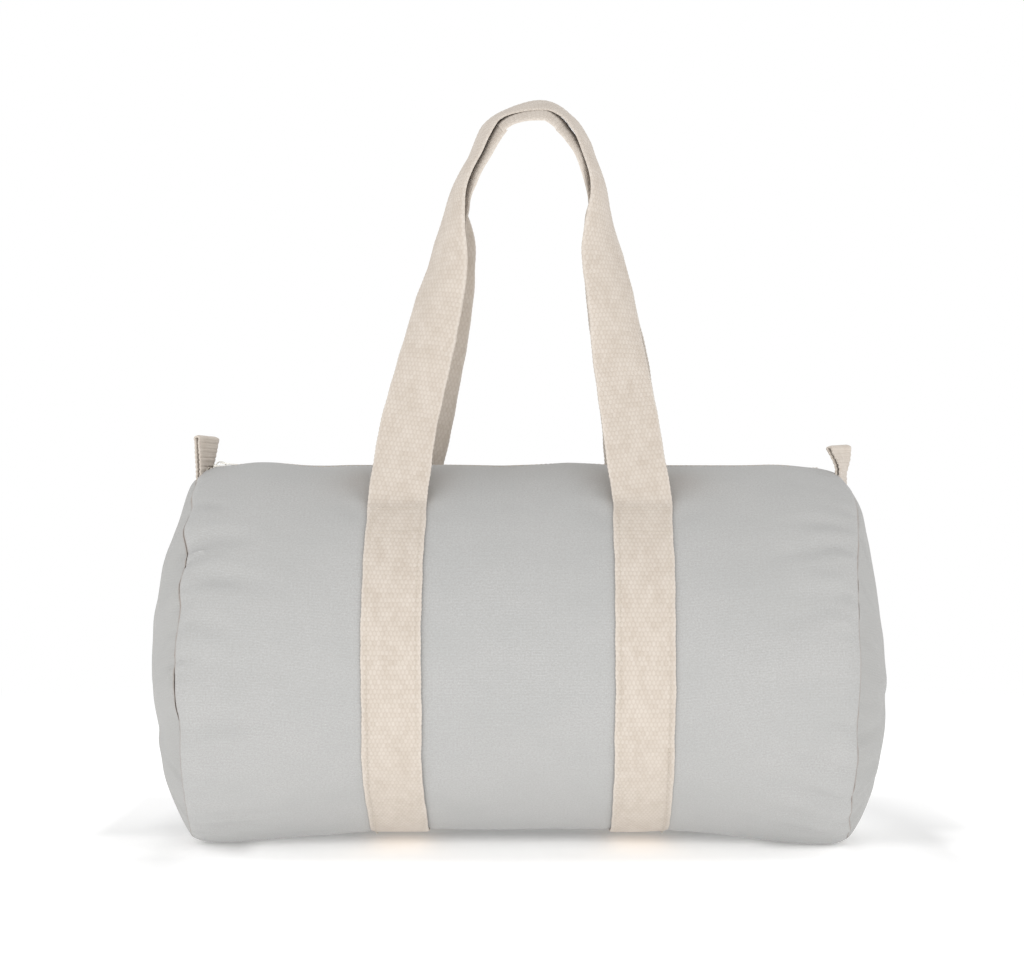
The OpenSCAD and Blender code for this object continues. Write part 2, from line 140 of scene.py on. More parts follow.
# How far outwards the front handle's legs stand beside their plain course
LEG_SHIFT = {
    -1: ((0, 0), (0.12, 0.8), (0.2, 1.4), (0.35, 2.0), (0.42, 1.9), (0.5, 1.4), (0.58, 1.0),
         (0.65, 2.4), (0.7, 2.2), (0.74, 1.4), (0.8, -0.7), (0.86, -1.8), (0.91, -0.1),
         (0.95, 1.9), (0.975, 1.2), (1, 0)),
    1: ((0, 0), (0.12, -1.2), (0.34, -0.6), (0.44, 0.7), (0.52, 0.7), (0.6, -0.6), (0.66, -0.2),
        (0.72, 1.0), (0.8, 1.0), (0.86, 1.0), (0.91, 1.6), (0.95, 0.2), (0.975, -1.0), (1, 0)),
}

# How many degrees further round than their plain course the same legs are turned
LEG_TURN = {
    -1: ((0, 0), (0.12, 7), (0.3, 9), (0.42, 5), (0.5, 0), (1, 0)),
    1: ((0, 0), (0.12, 5), (0.3, 8), (0.42, 7), (0.5, 1), (0.56, -5), (0.62, -9), (0.68, -5),
        (0.74, 0), (1, 0)),
}

# Where the inner edge of the back handle's legs runs, as (height, place along the bag)
INNER_EDGE = {
    -1: (
        (271, -46.5), (303, -40.5), (335, -35.2), (352, -32.5), (368, -30.5), (376, -29.8),
        (384, -29.1), (392, -29.8), (400, -31.1), (408, -33.8), (416, -35.2), (424, -34.5),
        (432, -31.8), (440, -29.1), (448, -25.8), (456, -22.4), (464, -17.7), (472, -13.0),
        (480, -3.0),
    ),
    1: (
        (271, 56.9), (287, 55.0), (303, 52.6), (335, 48.6), (352, 46.6), (368, 44.9),
        (384, 44.1), (400, 44.4), (408, 45.6), (416, 47.0), (424, 49.4), (432, 48.9),
        (440, 45.3), (448, 42.6), (456, 39.9), (464, 36.5), (472, 31.9), (480, 24.5),
    ),
}

# How far inside the end plane each end seam runs, by its angle in degrees
SEAM_WANDER = {
    -1: (
        (0, 3.0), (14, 4.5), (27, 4.2), (34, 6.2), (39, 4.4), (44, 1.4), (49, 4.6), (54, 6.7),
        (59, 4.2), (65, 1.6), (71, 4.0), (82, 1.0), (92, 0.5), (100, 1.0), (107, 3.6),
        (120, 2.6), (140, 3.2), (165, 2.0), (180, 2.4), (200, 3.4), (226, 1.4),
        (243, 4.2), (262, 1.0), (281, 2.6), (300, 5.0), (318, 2.0), (337, 5.2),
    ),
    1: (
        (0, 4.2), (12, 3.4), (18, 2.0), (25, 0.0), (35, -0.6), (42, 0.4), (49, 1.2),
        (54, 2.6), (59, 3.4),
        (79, 4.0), (88, 3.0), (96, 3.6), (105, 5.0), (111, 5.0), (120, 3.4),
        (127, 4.9), (136, 6.0), (139, 4.3), (145, 5.6), (156, 2.0), (180, 3.0),
        (204, 1.8), (231, 4.4), (252, 2.0), (270, 3.4), (290, 1.2), (309, 4.6),
        (330, 2.2), (346, 4.4),
    ),
}

# How far each end panel stands out past its plain dome, by height, both in millimetres
END_SWELL = {
    -1: (
        (0, 0.0), (46, -0.7), (59, -2.6), (72, -2.6), (84, -3.2), (97, -0.7), (110, 1.3),
        (123, 2.0), (136, 2.0), (150, 3.2), (163, 2.6), (176, 2.0), (189, 2.0), (202, 0.8),
        (215, 0.8), (228, 2.0), (242, 3.6), (252, 3.6),
    ),
    1: (
        (0, 0.0), (46, 2.0), (59, 0.7), (72, 0.0), (84, 0.0), (97, 1.2), (110, 1.2),
        (123, -0.6), (136, -1.2), (150, -2.6), (163, -2.0), (176, -0.7), (189, 0.6),
        (202, 1.8), (215, 3.4), (228, 5.4), (238, 4.0), (246, 1.6), (252, 1.0),
    ),
}

# Height of the cloth over the plain barrel beside the zip, by place along it
CREST = (
    (-219, -0.4), (-213, -2.4), (-206, -2.6), (-198, -0.9), (-190, 1.0), (-181, 2.6),
    (-172, 3.2), (-163, 2.8), (-155, 1.7), (-140, -0.6), (-127, -1.0), (-113, 0.3),
    (-90, 0.1), (-48, 0.7), (-30, 0.1), (-12, -0.7), (10, 0.9), (32, 2.8), (48, 1.9),
    (62, 0.4), (90, -0.2), (148, -0.2), (158, 0.4), (168, 1.0), (178, 0.3),
    (188, -1.9), (198, -4.3), (205, -5.8), (211, -5.4), (219, 0.4),
)

# How far the cloth under the front stands off the floor more than the plain barrel
UNDERSIDE = (
    (-219, 2.9), (-180, 2.9), (-161, 2.5), (-142, 2.0), (-118, 0.8), (-80, 0.0), (80, 0.0),
    (100, 1.2), (121, 2.3), (148, 3.0), (175, 2.0), (195, 0.2), (219, 0.0),
)

# Short sharp puckers beside the end seams: side and angles in degrees
PUCKERS = (
    (-1, (33, 51, 57, 66, 79, 93, 111, 119, 126, 141, 153, 160, 300, 318, 243, 226)),
    (1, (38, 47, 55, 63, 70, 76, 95, 109, 123, 137, 149, 160, 309, 290, 252, 231)),
)

# Folds of the barrel's cloth: place along it, angle in degrees, length, width, heading
# in degrees from the barrel's length towards the floor, and depth
FOLDS = (
    (-196, 50, 46, 6.5, 6, 1.5), (-190, 64, 58, 7.5, 10, 1.7), (-199, 78, 36, 7, 14, 0.9),
    (-186, 107, 64, 9, -4, 1.6), (-192, 118, 52, 8, -12, 1.5), (-176, 143, 66, 8, -10, 1.6),
    (-184, 151, 50, 6, -16, 1.5), (-205, 36, 26, 5, 22, 1.3), (-160, 92, 90, 15, 14, 0.9),
    (198, 44, 44, 6, -8, 1.4), (192, 54, 56, 7, -14, 1.6), (196, 69, 44, 7, -6, 1.3),
    (190, 74, 52, 7.5, -18, 1.2), (192, 119, 54, 8, 12, 1.5), (188, 131, 58, 8, 18, 1.7),
    (178, 142, 60, 8, 8, 1.4), (186, 152, 46, 6, 14, 1.4), (160, 96, 84, 14, -12, 0.9),
    (-198, 306, 50, 7, -8, 1.5), (-190, 292, 54, 8, -12, 1.4), (-188, 250, 60, 9, 8, 1.5),
    (-182, 222, 60, 8, 12, 1.5), (196, 312, 48, 7, 10, 1.5), (190, 286, 56, 8, 14, 1.3),
    (192, 244, 56, 8, -10, 1.6), (184, 214, 58, 8, -14, 1.4), (150, 262, 90, 14, 8, 0.9),
    (-98, 34, 30, 8, 64, 1.7), (-62, 35, 30, 8, 118, 1.9), (60, 35, 30, 8, 62, 1.9),
    (99, 34, 32, 8, 118, 1.9), (-106, 41, 24, 9, 40, 1.1), (-53, 42, 22, 8, 138, 1.1),
    (52, 42, 24, 8, 42, 1.1), (107, 42, 26, 9, 140, 1.2),
    (-98, 326, 30, 8, -64, 1.7), (-62, 325, 30, 8, -118, 1.8), (60, 325, 30, 8, -62, 1.8),
    (99, 326, 30, 8, -118, 1.8),
    (0, 118, 118, 10, 0, 0.9), (-20, 121, 70, 6, 3, 0.5), (12, 52, 84, 24, -3, 0.8),
    (-140, 60, 60, 20, 4, 0.8), (142, 58, 66, 20, -4, 0.9), (0, 240, 118, 10, 0, 0.9),
    (-8, 306, 90, 22, 3, 0.8), (-140, 126, 60, 12, -4, 0.8), (140, 124, 60, 12, 4, 0.8),
    (-40, 84, 60, 30, 60, -0.6), (36, 88, 60, 30, 118, -0.6), (0, 148, 110, 14, 0, 0.7),
)

# Painted shadow and painted light patches of the floor: where each rises and falls in x
# and in y, in metres, and how much it changes the tone
FLOOR_PAINTED_LIGHT_AND_SHADE = (
    ((-0.2, -0.16, 0.17, 0.21), (-0.07, 0.0, 0.075, 0.125), -0.1),
    ((-0.2, -0.16, 0.17, 0.21), (-0.02, 0.055, 0.075, 0.125), -0.48),
    ((0.15, 0.18, 0.2, 0.225), (-0.05, -0.01, 0.075, 0.125), -0.3),
    ((-0.3, -0.28, -0.22, -0.2), (0.0, 0.06, 0.26, 0.36), -0.14),
    ((-0.27, -0.24, -0.215, -0.185), (-0.1, -0.05, 0.04, 0.09), 0.1),
    ((0.2, 0.23, 0.3, 0.335), (-0.05, 0.02, 0.26, 0.36), -0.12),
    ((0.275, 0.295, 0.33, 0.36), (-0.1, -0.05, 0.03, 0.09), 0.14),
)


def clamp01(t):
    """The same value, kept between 0 and 1."""
    return np.clip(t, 0.0, 1.0)


def smooth(t):
    """Rises smoothly from 0 to 1 while t does."""
    c = clamp01(t)
    return c * c * (3 - 2 * c)


def hump(distance, width):
    """1 in the middle, falling smoothly to 0 on both sides."""
    return np.exp(-((distance / width) ** 2))


def unit(vectors):
    """The same directions, each of length 1."""
    return vectors / np.linalg.norm(vectors, axis=-1)[..., None]


def wrapped(v):
    """A distance around the barrel, taken the shorter way."""
    return (v + AROUND / 2) % AROUND - AROUND / 2


def shoulder(x):
    """How far the barrel's edge has rounded over towards its end seams, from 0 to 1."""
    s = clamp01((np.abs(x) - HALF + SHOULDER_LENGTH) / SHOULDER_LENGTH)
    full = 1 - math.sqrt(1 - SHOULDER_TURN**2)
    return (1 - np.sqrt(1 - (SHOULDER_TURN * s) ** 2)) / full


def barrel_top(x):
    """Height of the plain barrel's top."""
    return HEIGHT - SHOULDER_DROP * shoulder(x)


def barrel_bottom(x):
    """Height of its underside, which stands clear of the floor between its ends."""
    down = smooth((np.abs(x) - 0.32 * HALF) / (0.55 * HALF))
    return MIDDLE_LIFT * (1 - down) - FLOOR_PRESS * down + SEAM_RISE * shoulder(x)


def barrel_half_width(x):
    """Half of the plain barrel's depth."""
    return HALF_WIDTH / (1 + BELLY**2) - SHOULDER_DROP * shoulder(x)


def seam_wander(side, a):
    """How far the seam at one end runs inside the end plane, at an angle in radians."""
    places = np.array(SEAM_WANDER[side], float)
    around = np.concatenate([places[:, 0] - 360, places[:, 0], places[:, 0] + 360])
    depth = np.tile(places[:, 1], 3)
    degrees = np.degrees(a) % 360
    spread = sum(np.interp(degrees + d, around, depth) for d in (-2.4, -1.2, 0, 1.2, 2.4))
    return spread / 5


def looked_up(points, x):
    """A value between (place, value) points, along straight lines."""
    return np.interp(x, *np.array(points, float).T)


def profile(points, x):
    """A value between (place, value) points, along a line smoothed over 8 mm."""
    return sum(looked_up(points, x + d) for d in (-4.0, -2.0, 0.0, 2.0, 4.0)) / 5


def angle_at(y):
    """The angle where the barrel's top is so far from the zip's middle."""
    return math.asin(y / (HALF_WIDTH * (1 - BELLY)))


ZIP_ANGLE = angle_at(ZIP_EDGE)
FOLD_ANGLE = angle_at(FOLD_EDGE)


def bell(u, v, x, a, length, width, heading, depth):
    """A soft valley in the cloth with a faint lip on either side."""
    h = math.radians(heading)
    du, dv = u - x, v - a
    along = du * math.cos(h) + dv * math.sin(h)
    beside = dv * math.cos(h) - du * math.sin(h)
    return -depth * hump(along, 0.5 * length) * lipped(beside, width)


def lipped(distance, width, lip=0.55):
    """The cross section of a fold: 1 in its middle and a little below 0 beside it."""
    q = (distance / width) ** 2
    return np.exp(-q) * (1 - lip * q)


def waves(rng, count, shortest, longest, u, v):
    """The sum of long waves in the cloth with random lengths, headings and phases."""
    total = np.zeros(np.broadcast(u, v).shape)
    for _ in range(count):
        wave = rng.uniform(shortest, longest)
        heading = rng.uniform(0, math.pi)
        phase = rng.uniform(0, TURN)
        total += np.sin((u * math.cos(heading) + v * math.sin(heading)) * TURN / wave + phase)
    return total


def near_strap(x, reach=3.0):
    """1 under the sewn straps, fading to 0 beside them."""
    return 1 - smooth((np.abs(np.abs(x) - STRAP_X) - WEB_HALF) / reach)


def seam_puckers(x, v, rng):
    """The puckers that run in from both end seams: many small random ones and the sharp ones."""
    found = np.zeros(np.broadcast(x, v).shape)
    for side in (-1, 1):
        from_seam = HALF - side * x
        for _ in range(58):
            angle = rng.uniform(0, TURN)
            length = rng.uniform(9, 34)
            width = rng.uniform(2.4, 5.0)
            depth = rng.uniform(0.25, 0.95)
            lean = rng.uniform(-0.25, 0.25)
            gap = wrapped(v - HALF_WIDTH * angle - lean * from_seam)
            found -= depth * hump(from_seam, length) * lipped(gap, width)
    for side, angles in PUCKERS:
        from_seam = HALF - side * x
        for k, angle in enumerate(angles):
            lean = (0.28 if k % 3 else 0.12) * (1 if angle < 180 else -1)
            gap = v - HALF_WIDTH * math.radians(angle) + lean * from_seam
            depth = 0.55 + 0.12 * (k % 3)
            found -= depth * hump(from_seam, 17 + 6 * (k % 4)) * lipped(gap, 2.3 + 0.5 * (k % 2))
    return found


def sag(x, a, look):
    """How far the filled cloth stands off the plain barrel, in millimetres."""
    v = HALF_WIDTH * a
    rng = np.random.default_rng(look.seed)
    folds = seam_puckers(x, v, rng)
    for place, angle, length, width, heading, depth in FOLDS:
        folds += bell(x, v, place, HALF_WIDTH * math.radians(angle), length, width, heading, depth)
    swell = 0.16 * waves(rng, 26, 60, 150, x, v)
    ripple = 0.022 * waves(rng, 30, 14, 38, x, v)

    # The cloth lies flat under the straps and beside the zip, and is loosest near the ends
    end = smooth((np.abs(x) - 120) / 95)
    strap = near_strap(x, 4.0)
    top = HALF_WIDTH * STRAP_TOP
    sewn = smooth((v - top + 16) / 12) * smooth((AROUND - v - top + 16) / 12)
    from_top = np.minimum(v, np.abs(AROUND - v))
    calm = smooth(v / 50) * smooth((AROUND - v) / 50)
    quiet = 0.12 + 0.88 * smooth((from_top - 14) / 40)
    detail = look.fold_depth * (1 + 0.8 * end) * folds + ripple
    total = detail * (1 - 0.88 * strap * sewn) * quiet
    total += swell * (0.5 + 0.6 * end) * calm * (1 - 0.6 * strap)

    on_top = np.maximum(np.cos(a), 0) ** 1.5
    total += profile(CREST, x) * on_top * (0.3 + 0.7 * smooth((from_top - 6) / 14))
    total += (0.55 * (near_strap(x, 12.0) - near_strap(x, 3.0)) - 0.5 * strap) * sewn
    total -= profile(UNDERSIDE, x) * smooth((a - 2.2) / 0.5) * (1 - smooth((a - 3.1) / 0.3))
    return total


def groove(from_seam):
    """How deep the cloth dips where it is sewn."""
    return 0.34 * hump(from_seam, 1.0)


def barrel_points(x, a, off, look, least=0.0):
    """Points of the sagging barrel, moved outwards by off, with the groove of its seams."""
    w = barrel_half_width(x)
    top, bottom = barrel_top(x), barrel_bottom(x)
    b = (top - bottom) / 2
    ny, nz = -b * np.sin(a), w * np.cos(a)
    size = np.hypot(ny, nz)
    ny, nz = ny / size, nz / size
    lift = off + sag(x, a, look)
    side = np.sign(x)
    dip = groove((HALF - np.abs(x)) * 1.5)
    rise = lift - dip * math.cos(SEAM_TILT)
    y = -w * np.sin(a) * (1 - BELLY * np.cos(a)) + rise * ny
    z = (top + bottom) / 2 + b * np.cos(a) + rise * nz
    shift = np.where(side < 0, seam_wander(-1, a), seam_wander(1, a))
    shift = shift * (1 - smooth((HALF - np.abs(x)) / 58)) + dip * math.sin(SEAM_TILT)
    return np.stack([x - side * shift, y, np.maximum(z, least)], -1)


def end_points(side, r, a, look, depth=0.0):
    """Points of an end panel; r is 1 at its seam and 0 at its middle."""
    seam_w = float(barrel_half_width(HALF))
    top, bottom = float(barrel_top(HALF)), float(barrel_bottom(HALF))
    seam_b, seam_z = (top - bottom) / 2, (top + bottom) / 2
    inward = (1 - r) * HALF_WIDTH
    rng = np.random.default_rng(look.seed + 7 + side)
    v = a * HALF_WIDTH
    bump = np.zeros(np.broadcast(r, a).shape)
    for _ in range(60):
        angle = rng.uniform(0, TURN)
        length = rng.uniform(8, 38)
        width = rng.uniform(2.6, 6.0)
        deep = rng.uniform(0.3, 1.2)
        gap = wrapped(v - HALF_WIDTH * angle) * (0.35 + 0.65 * r)
        bump -= deep * hump(inward, length) * lipped(gap, width, 0.5)
    y0, z0 = -r * np.sin(a) * seam_w, r * np.cos(a) * seam_b
    bump += 0.2 * waves(rng, 22, 60, 140, y0, z0)
    # A few long dents, placed by their middle
    for _ in range(7):
        cy, cz = rng.uniform(-80, 80), rng.uniform(-80, 70)
        bump += bell(y0, z0, cy, cz, rng.uniform(40, 90), rng.uniform(7, 13),
                     rng.uniform(-40, 40), rng.uniform(0.5, 1.3))
    bump *= 1.25 * look.fold_depth * smooth((inward + 3) / 8)
    # The dome
    x = HALF + SEAM_GAP + END_BULGE * (1 - r**BULGE_POWER)
    y = -seam_w * r * np.sin(a) * (1 - BELLY * np.cos(a))
    z = BULGE_HEIGHT + (seam_z - BULGE_HEIGHT) * r**2 + seam_b * r * np.cos(a)
    # At its seam the panel follows the barrel's cloth
    full = np.hypot(seam_b * np.sin(a), seam_w * np.cos(a))
    rim_y, rim_z = -seam_b * np.sin(a) / full, seam_w * np.cos(a) / full
    rim = sag(np.full(a.shape[-1], side * HALF), a.reshape(-1, a.shape[-1])[0], look)
    rim = rim * hump(inward, 9)
    y, z = y + rim * rim_y, z + rim * rim_z
    x = x + profile(END_SWELL[side], z) * (1 - np.exp(-inward / 5))
    # Which way the dome's face looks, which the cloth's bumps and thickness follow
    slope = 0.39 * r**0.95
    nx = 1 / np.sqrt(1 + slope**2)
    nr = slope * nx
    ny, nz = -nr * np.sin(a), nr * np.cos(a)
    lift = bump - depth
    x, y, z = x + lift * nx, y + lift * ny, z + lift * nz
    # The groove and the wavy line of the seam
    dip = groove(inward * 1.1)
    fall = dip * math.cos(SEAM_TILT)
    y, z = y - fall * rim_y, z - fall * rim_z
    shift = seam_wander(side, a) * (1 - smooth(inward / 40)) + dip * math.sin(SEAM_TILT)
    return np.stack([side * (x - shift), y, np.maximum(z, depth)], -1)


def link(data, name):
    """A new object of a mesh or a curve."""
    piece = bpy.data.objects.new(name, data)
    bpy.context.scene.collection.objects.link(piece)
    return piece


def soften(mesh, sharp):
    """Shades a mesh smoothly, with hard edges only past an angle in degrees."""
    mesh.shade_smooth()
    mesh.set_sharp_from_angle(angle=math.radians(sharp))


def finished_mesh(source):
    """A plain copy of an object's mesh as its modifiers or its curve make it."""
    bpy.context.view_layer.update()
    evaluated = source.evaluated_get(bpy.context.evaluated_depsgraph_get())
    return bpy.data.meshes.new_from_object(evaluated)


def cloth_map(mesh, uv):
    """Lays a piece's own cloth coordinates, in metres, on it as a UV map."""
    layer = mesh.uv_layers.new(name="cloth")
    corner = np.empty(len(mesh.loops), int)
    mesh.loops.foreach_get("vertex_index", corner)
    layer.data.foreach_set("uv", (np.asarray(uv, float)[corner] * MM).ravel())


def wall(name, outer, inner, uv, keep=None, closed=False, pole=False, marks=None, sharp=52):
    """A closed wall between two grids of points in millimetres, as one smooth piece."""
    rows, cols = outer.shape[:2]
    count = rows * cols
    index = np.arange(count).reshape(rows, cols)
    if closed:
        index = np.concatenate([index, index[:, :1]], axis=1)
    a, b, c, d = index[:-1, :-1], index[:-1, 1:], index[1:, 1:], index[1:, :-1]
    kept = np.ones(a.shape, bool) if keep is None else keep
    flat = outer.reshape(-1, 3)
    cross = np.cross(flat[c] - flat[a], flat[d] - flat[b])
    facing = (cross * (outer - inner).reshape(-1, 3)[a])[kept].sum()
    flip = facing < 0
    padded = np.pad(kept, 1)
    if closed:
        padded[:, 0], padded[:, -1] = padded[:, -2], padded[:, 1]
    if pole:
        padded[-1, 1:-1] = kept[-1]
    faces = []

    # Outer and inner faces, then a rim wherever a cell has no neighbour
    def quads(p, q, r, s, take):
        """Adds four-cornered faces wherever take is true."""
        grid = np.stack([p[take], q[take], r[take], s[take]], -1)
        faces.extend((grid[:, ::-1] if flip else grid).tolist())

    quads(a, b, c, d, kept)
    quads(a + count, d + count, c + count, b + count, kept)
    quads(b, a, a + count, b + count, kept & ~padded[:-2, 1:-1])
    quads(c, b, b + count, c + count, kept & ~padded[1:-1, 2:])
    quads(d, c, c + count, d + count, kept & ~padded[2:, 1:-1])
    quads(a, d, d + count, a + count, kept & ~padded[1:-1, :-2])
    points = np.concatenate([flat, inner.reshape(-1, 3)])
    place = np.concatenate([uv.reshape(-1, 2)] * 2)
    values = {k: np.concatenate([m.ravel(), m.ravel()]) for k, m in (marks or {}).items()}
    if pole:
        ring, after = index[-1, :-1], index[-1, 1:]
        for shift, centre in ((0, 2 * count), (count, 2 * count + 1)):
            fan = np.stack([ring + shift, after + shift, np.full(ring.shape, centre)], -1)
            turned = flip != bool(shift)
            faces.extend((fan[:, ::-1] if turned else fan).tolist())
        points = np.concatenate([points, [outer[-1].mean(0), inner[-1].mean(0)]])
        place = np.concatenate([place, [uv[-1].mean(0)] * 2])
        values = {k: np.concatenate([m, [m[count - 1]] * 2]) for k, m in values.items()}
    # Points of cells that were left out go
    used = np.unique(np.concatenate([np.array(f) for f in faces]))
    fresh = np.full(len(points), -1)
    fresh[used] = np.arange(len(used))
    faces = [[int(fresh[i]) for i in face] for face in faces]
    mesh = bpy.data.meshes.new(name)
    mesh.from_pydata((points[used] * MM).tolist(), [], faces)
    cloth_map(mesh, place[used])
    for key, value in values.items():
        mark = mesh.attributes.new(key, "FLOAT", "POINT")
        mark.data.foreach_set("value", value[used].astype(np.float32))
    soften(mesh, sharp)
    mesh.update()
    return link(mesh, name)


def steps(*runs):
    """Stations from runs of (from, to, step), each run starting where the last one ends."""
    found = []
    for start, end, step in runs:
        count = max(1, round(abs(end - start) / step))
        found.extend(np.linspace(start, end, count + 1)[bool(found):].tolist())
    return np.array(found)


class Value:
    """One socket of a node tree, so that shader maths reads as Python."""

    def __init__(self, nodes, socket):
        self.nodes, self.socket = nodes, socket

    def maths(self, operation, *others):
        """The result of one Math node."""
        node = self.nodes.tree.nodes.new("ShaderNodeMath")
        node.operation = operation
        for entry, value in zip(node.inputs, others):
            self.nodes.feed(entry, value)
        return Value(self.nodes, node.outputs[0])

    def __add__(self, other):
        return self.maths("ADD", self, other)

    def __sub__(self, other):
        return self.maths("SUBTRACT", self, other)

    def __mul__(self, other):
        return self.maths("MULTIPLY", self, other)

    def __truediv__(self, other):
        return self.maths("DIVIDE", self, other)

    def __pow__(self, other):
        return self.maths("POWER", self, other)

    def __mod__(self, other):
        return self.maths("FLOORED_MODULO", self, other)

    __radd__ = __add__
    __rmul__ = __mul__

    def __rsub__(self, other):
        return self.maths("SUBTRACT", other, self)

    def floor(self):
        return self.maths("FLOOR", self)

    def cosine(self):
        return self.maths("COSINE", self)

    def size(self):
        return self.maths("ABSOLUTE", self)

    def most(self, other):
        return self.maths("MAXIMUM", self, other)

    def ease(self, low, high):
        """Rises smoothly from 0 at low to 1 at high."""
        return self.nodes.add(
            "ShaderNodeMapRange", {"interpolation_type": "SMOOTHSTEP"},
            {"Value": self, "From Min": low, "From Max": high},
        )


class Nodes:
    """A node tree, with one method that adds any node."""

    def __init__(self, tree):
        self.tree = tree

    def feed(self, entry, value):
        """Links a socket to an input, or gives it a plain value."""
        if isinstance(value, Value):
            self.tree.links.new(value.socket, entry)
        elif isinstance(value, bpy.types.NodeSocket):
            self.tree.links.new(value, entry)
        else:
            entry.default_value = value

    def add(self, kind, settings=None, sockets=None, out=0):
        """A new node with its settings and inputs, as the value of one of its outputs."""
        node = self.tree.nodes.new(kind)
        for key, value in (settings or {}).items():
            setattr(node, key, value)
        for key, value in (sockets or {}).items():
            self.feed(node.inputs[key], value)
        return Value(self, node.outputs[out]) if len(node.outputs) else node

    def mix(self, share, one, other):
        """A colour between two others, each a socket or the plain red, green and blue."""
        one, other = (c if isinstance(c, Value) else (*c, 1.0) for c in (one, other))
        return self.add("ShaderNodeMix", {"data_type": "RGBA"}, {0: share, 6: one, 7: other}, 2)

    def noise(self, vector, scale, detail, rough):
        """A field of soft noise."""
        sockets = {"Vector": vector, "Scale": scale, "Detail": detail, "Roughness": rough}
        return self.add("ShaderNodeTexNoise", {}, sockets)

    def stretched(self, vector, scale, place=(0, 0, 0)):
        """Coordinates scaled and moved."""
        return self.add("ShaderNodeMapping", {}, {"Vector": vector, "Scale": scale, "Location": place})

    def seen(self):
        """1 where a ray comes from the camera, a reflection or a see-through piece."""
        rays = self.add("ShaderNodeLightPath").socket.node.outputs
        camera, glossy, through = (
            Value(self, rays[f"Is {kind} Ray"]) for kind in ("Camera", "Glossy", "Transmission")
        )
        return camera.most(glossy).most(through)

    def parts(self, vector):
        """The x, y and z of a vector."""
        split = self.add("ShaderNodeSeparateXYZ", {}, {"Vector": vector}).socket.node
        return [Value(self, output) for output in split.outputs]


class Finish(Nodes):
    """A material built from nodes around one Principled shader."""

    def __init__(self, name, roughness=0.8, sheen=0.0, metallic=0.0):
        self.material = bpy.data.materials.new(name)
        self.material.use_nodes = True
        super().__init__(self.material.node_tree)
        self.tree.nodes.clear()
        self.shader = self.tree.nodes.new("ShaderNodeBsdfPrincipled")
        self.shader.inputs["Roughness"].default_value = roughness
        self.shader.inputs["Metallic"].default_value = metallic
        self.shader.inputs["Sheen Weight"].default_value = sheen
        self.shader.inputs["Sheen Roughness"].default_value = 0.6
        self.shader.inputs["Specular IOR Level"].default_value = 0.25 if metallic == 0 else 0.5
        output = self.tree.nodes.new("ShaderNodeOutputMaterial")
        self.tree.links.new(self.shader.outputs[0], output.inputs[0])

    def set(self, **values):
        """Feeds inputs of the shader, with _ for each space in a name."""
        for key, value in values.items():
            self.feed(self.shader.inputs[key.replace("_", " ")], value)

    def relief(self, height, depth, distance=0.001):
        """Raises the surface by a height, through one Bump node."""
        bump = self.add(
            "ShaderNodeBump", {}, {"Strength": depth, "Distance": distance, "Height": height}
        )
        self.set(Normal=bump)

    def cloth(self):
        """The piece's own cloth coordinates."""
        return self.add("ShaderNodeUVMap", {"uv_map": "cloth"})

    def here(self):
        """The place in the piece, in metres."""
        return self.add("ShaderNodeTexCoord", {}, {}, 3)


def srgb(red, green, blue):
    """A colour given as it looks on screen, from 0 to 255, as the numbers that shaders use."""
    linear = []
    for value in (red, green, blue):
        c = value / 255
        linear.append(c / 12.92 if c <= 0.04045 else ((c + 0.055) / 1.055) ** 2.4)
    return tuple(linear)


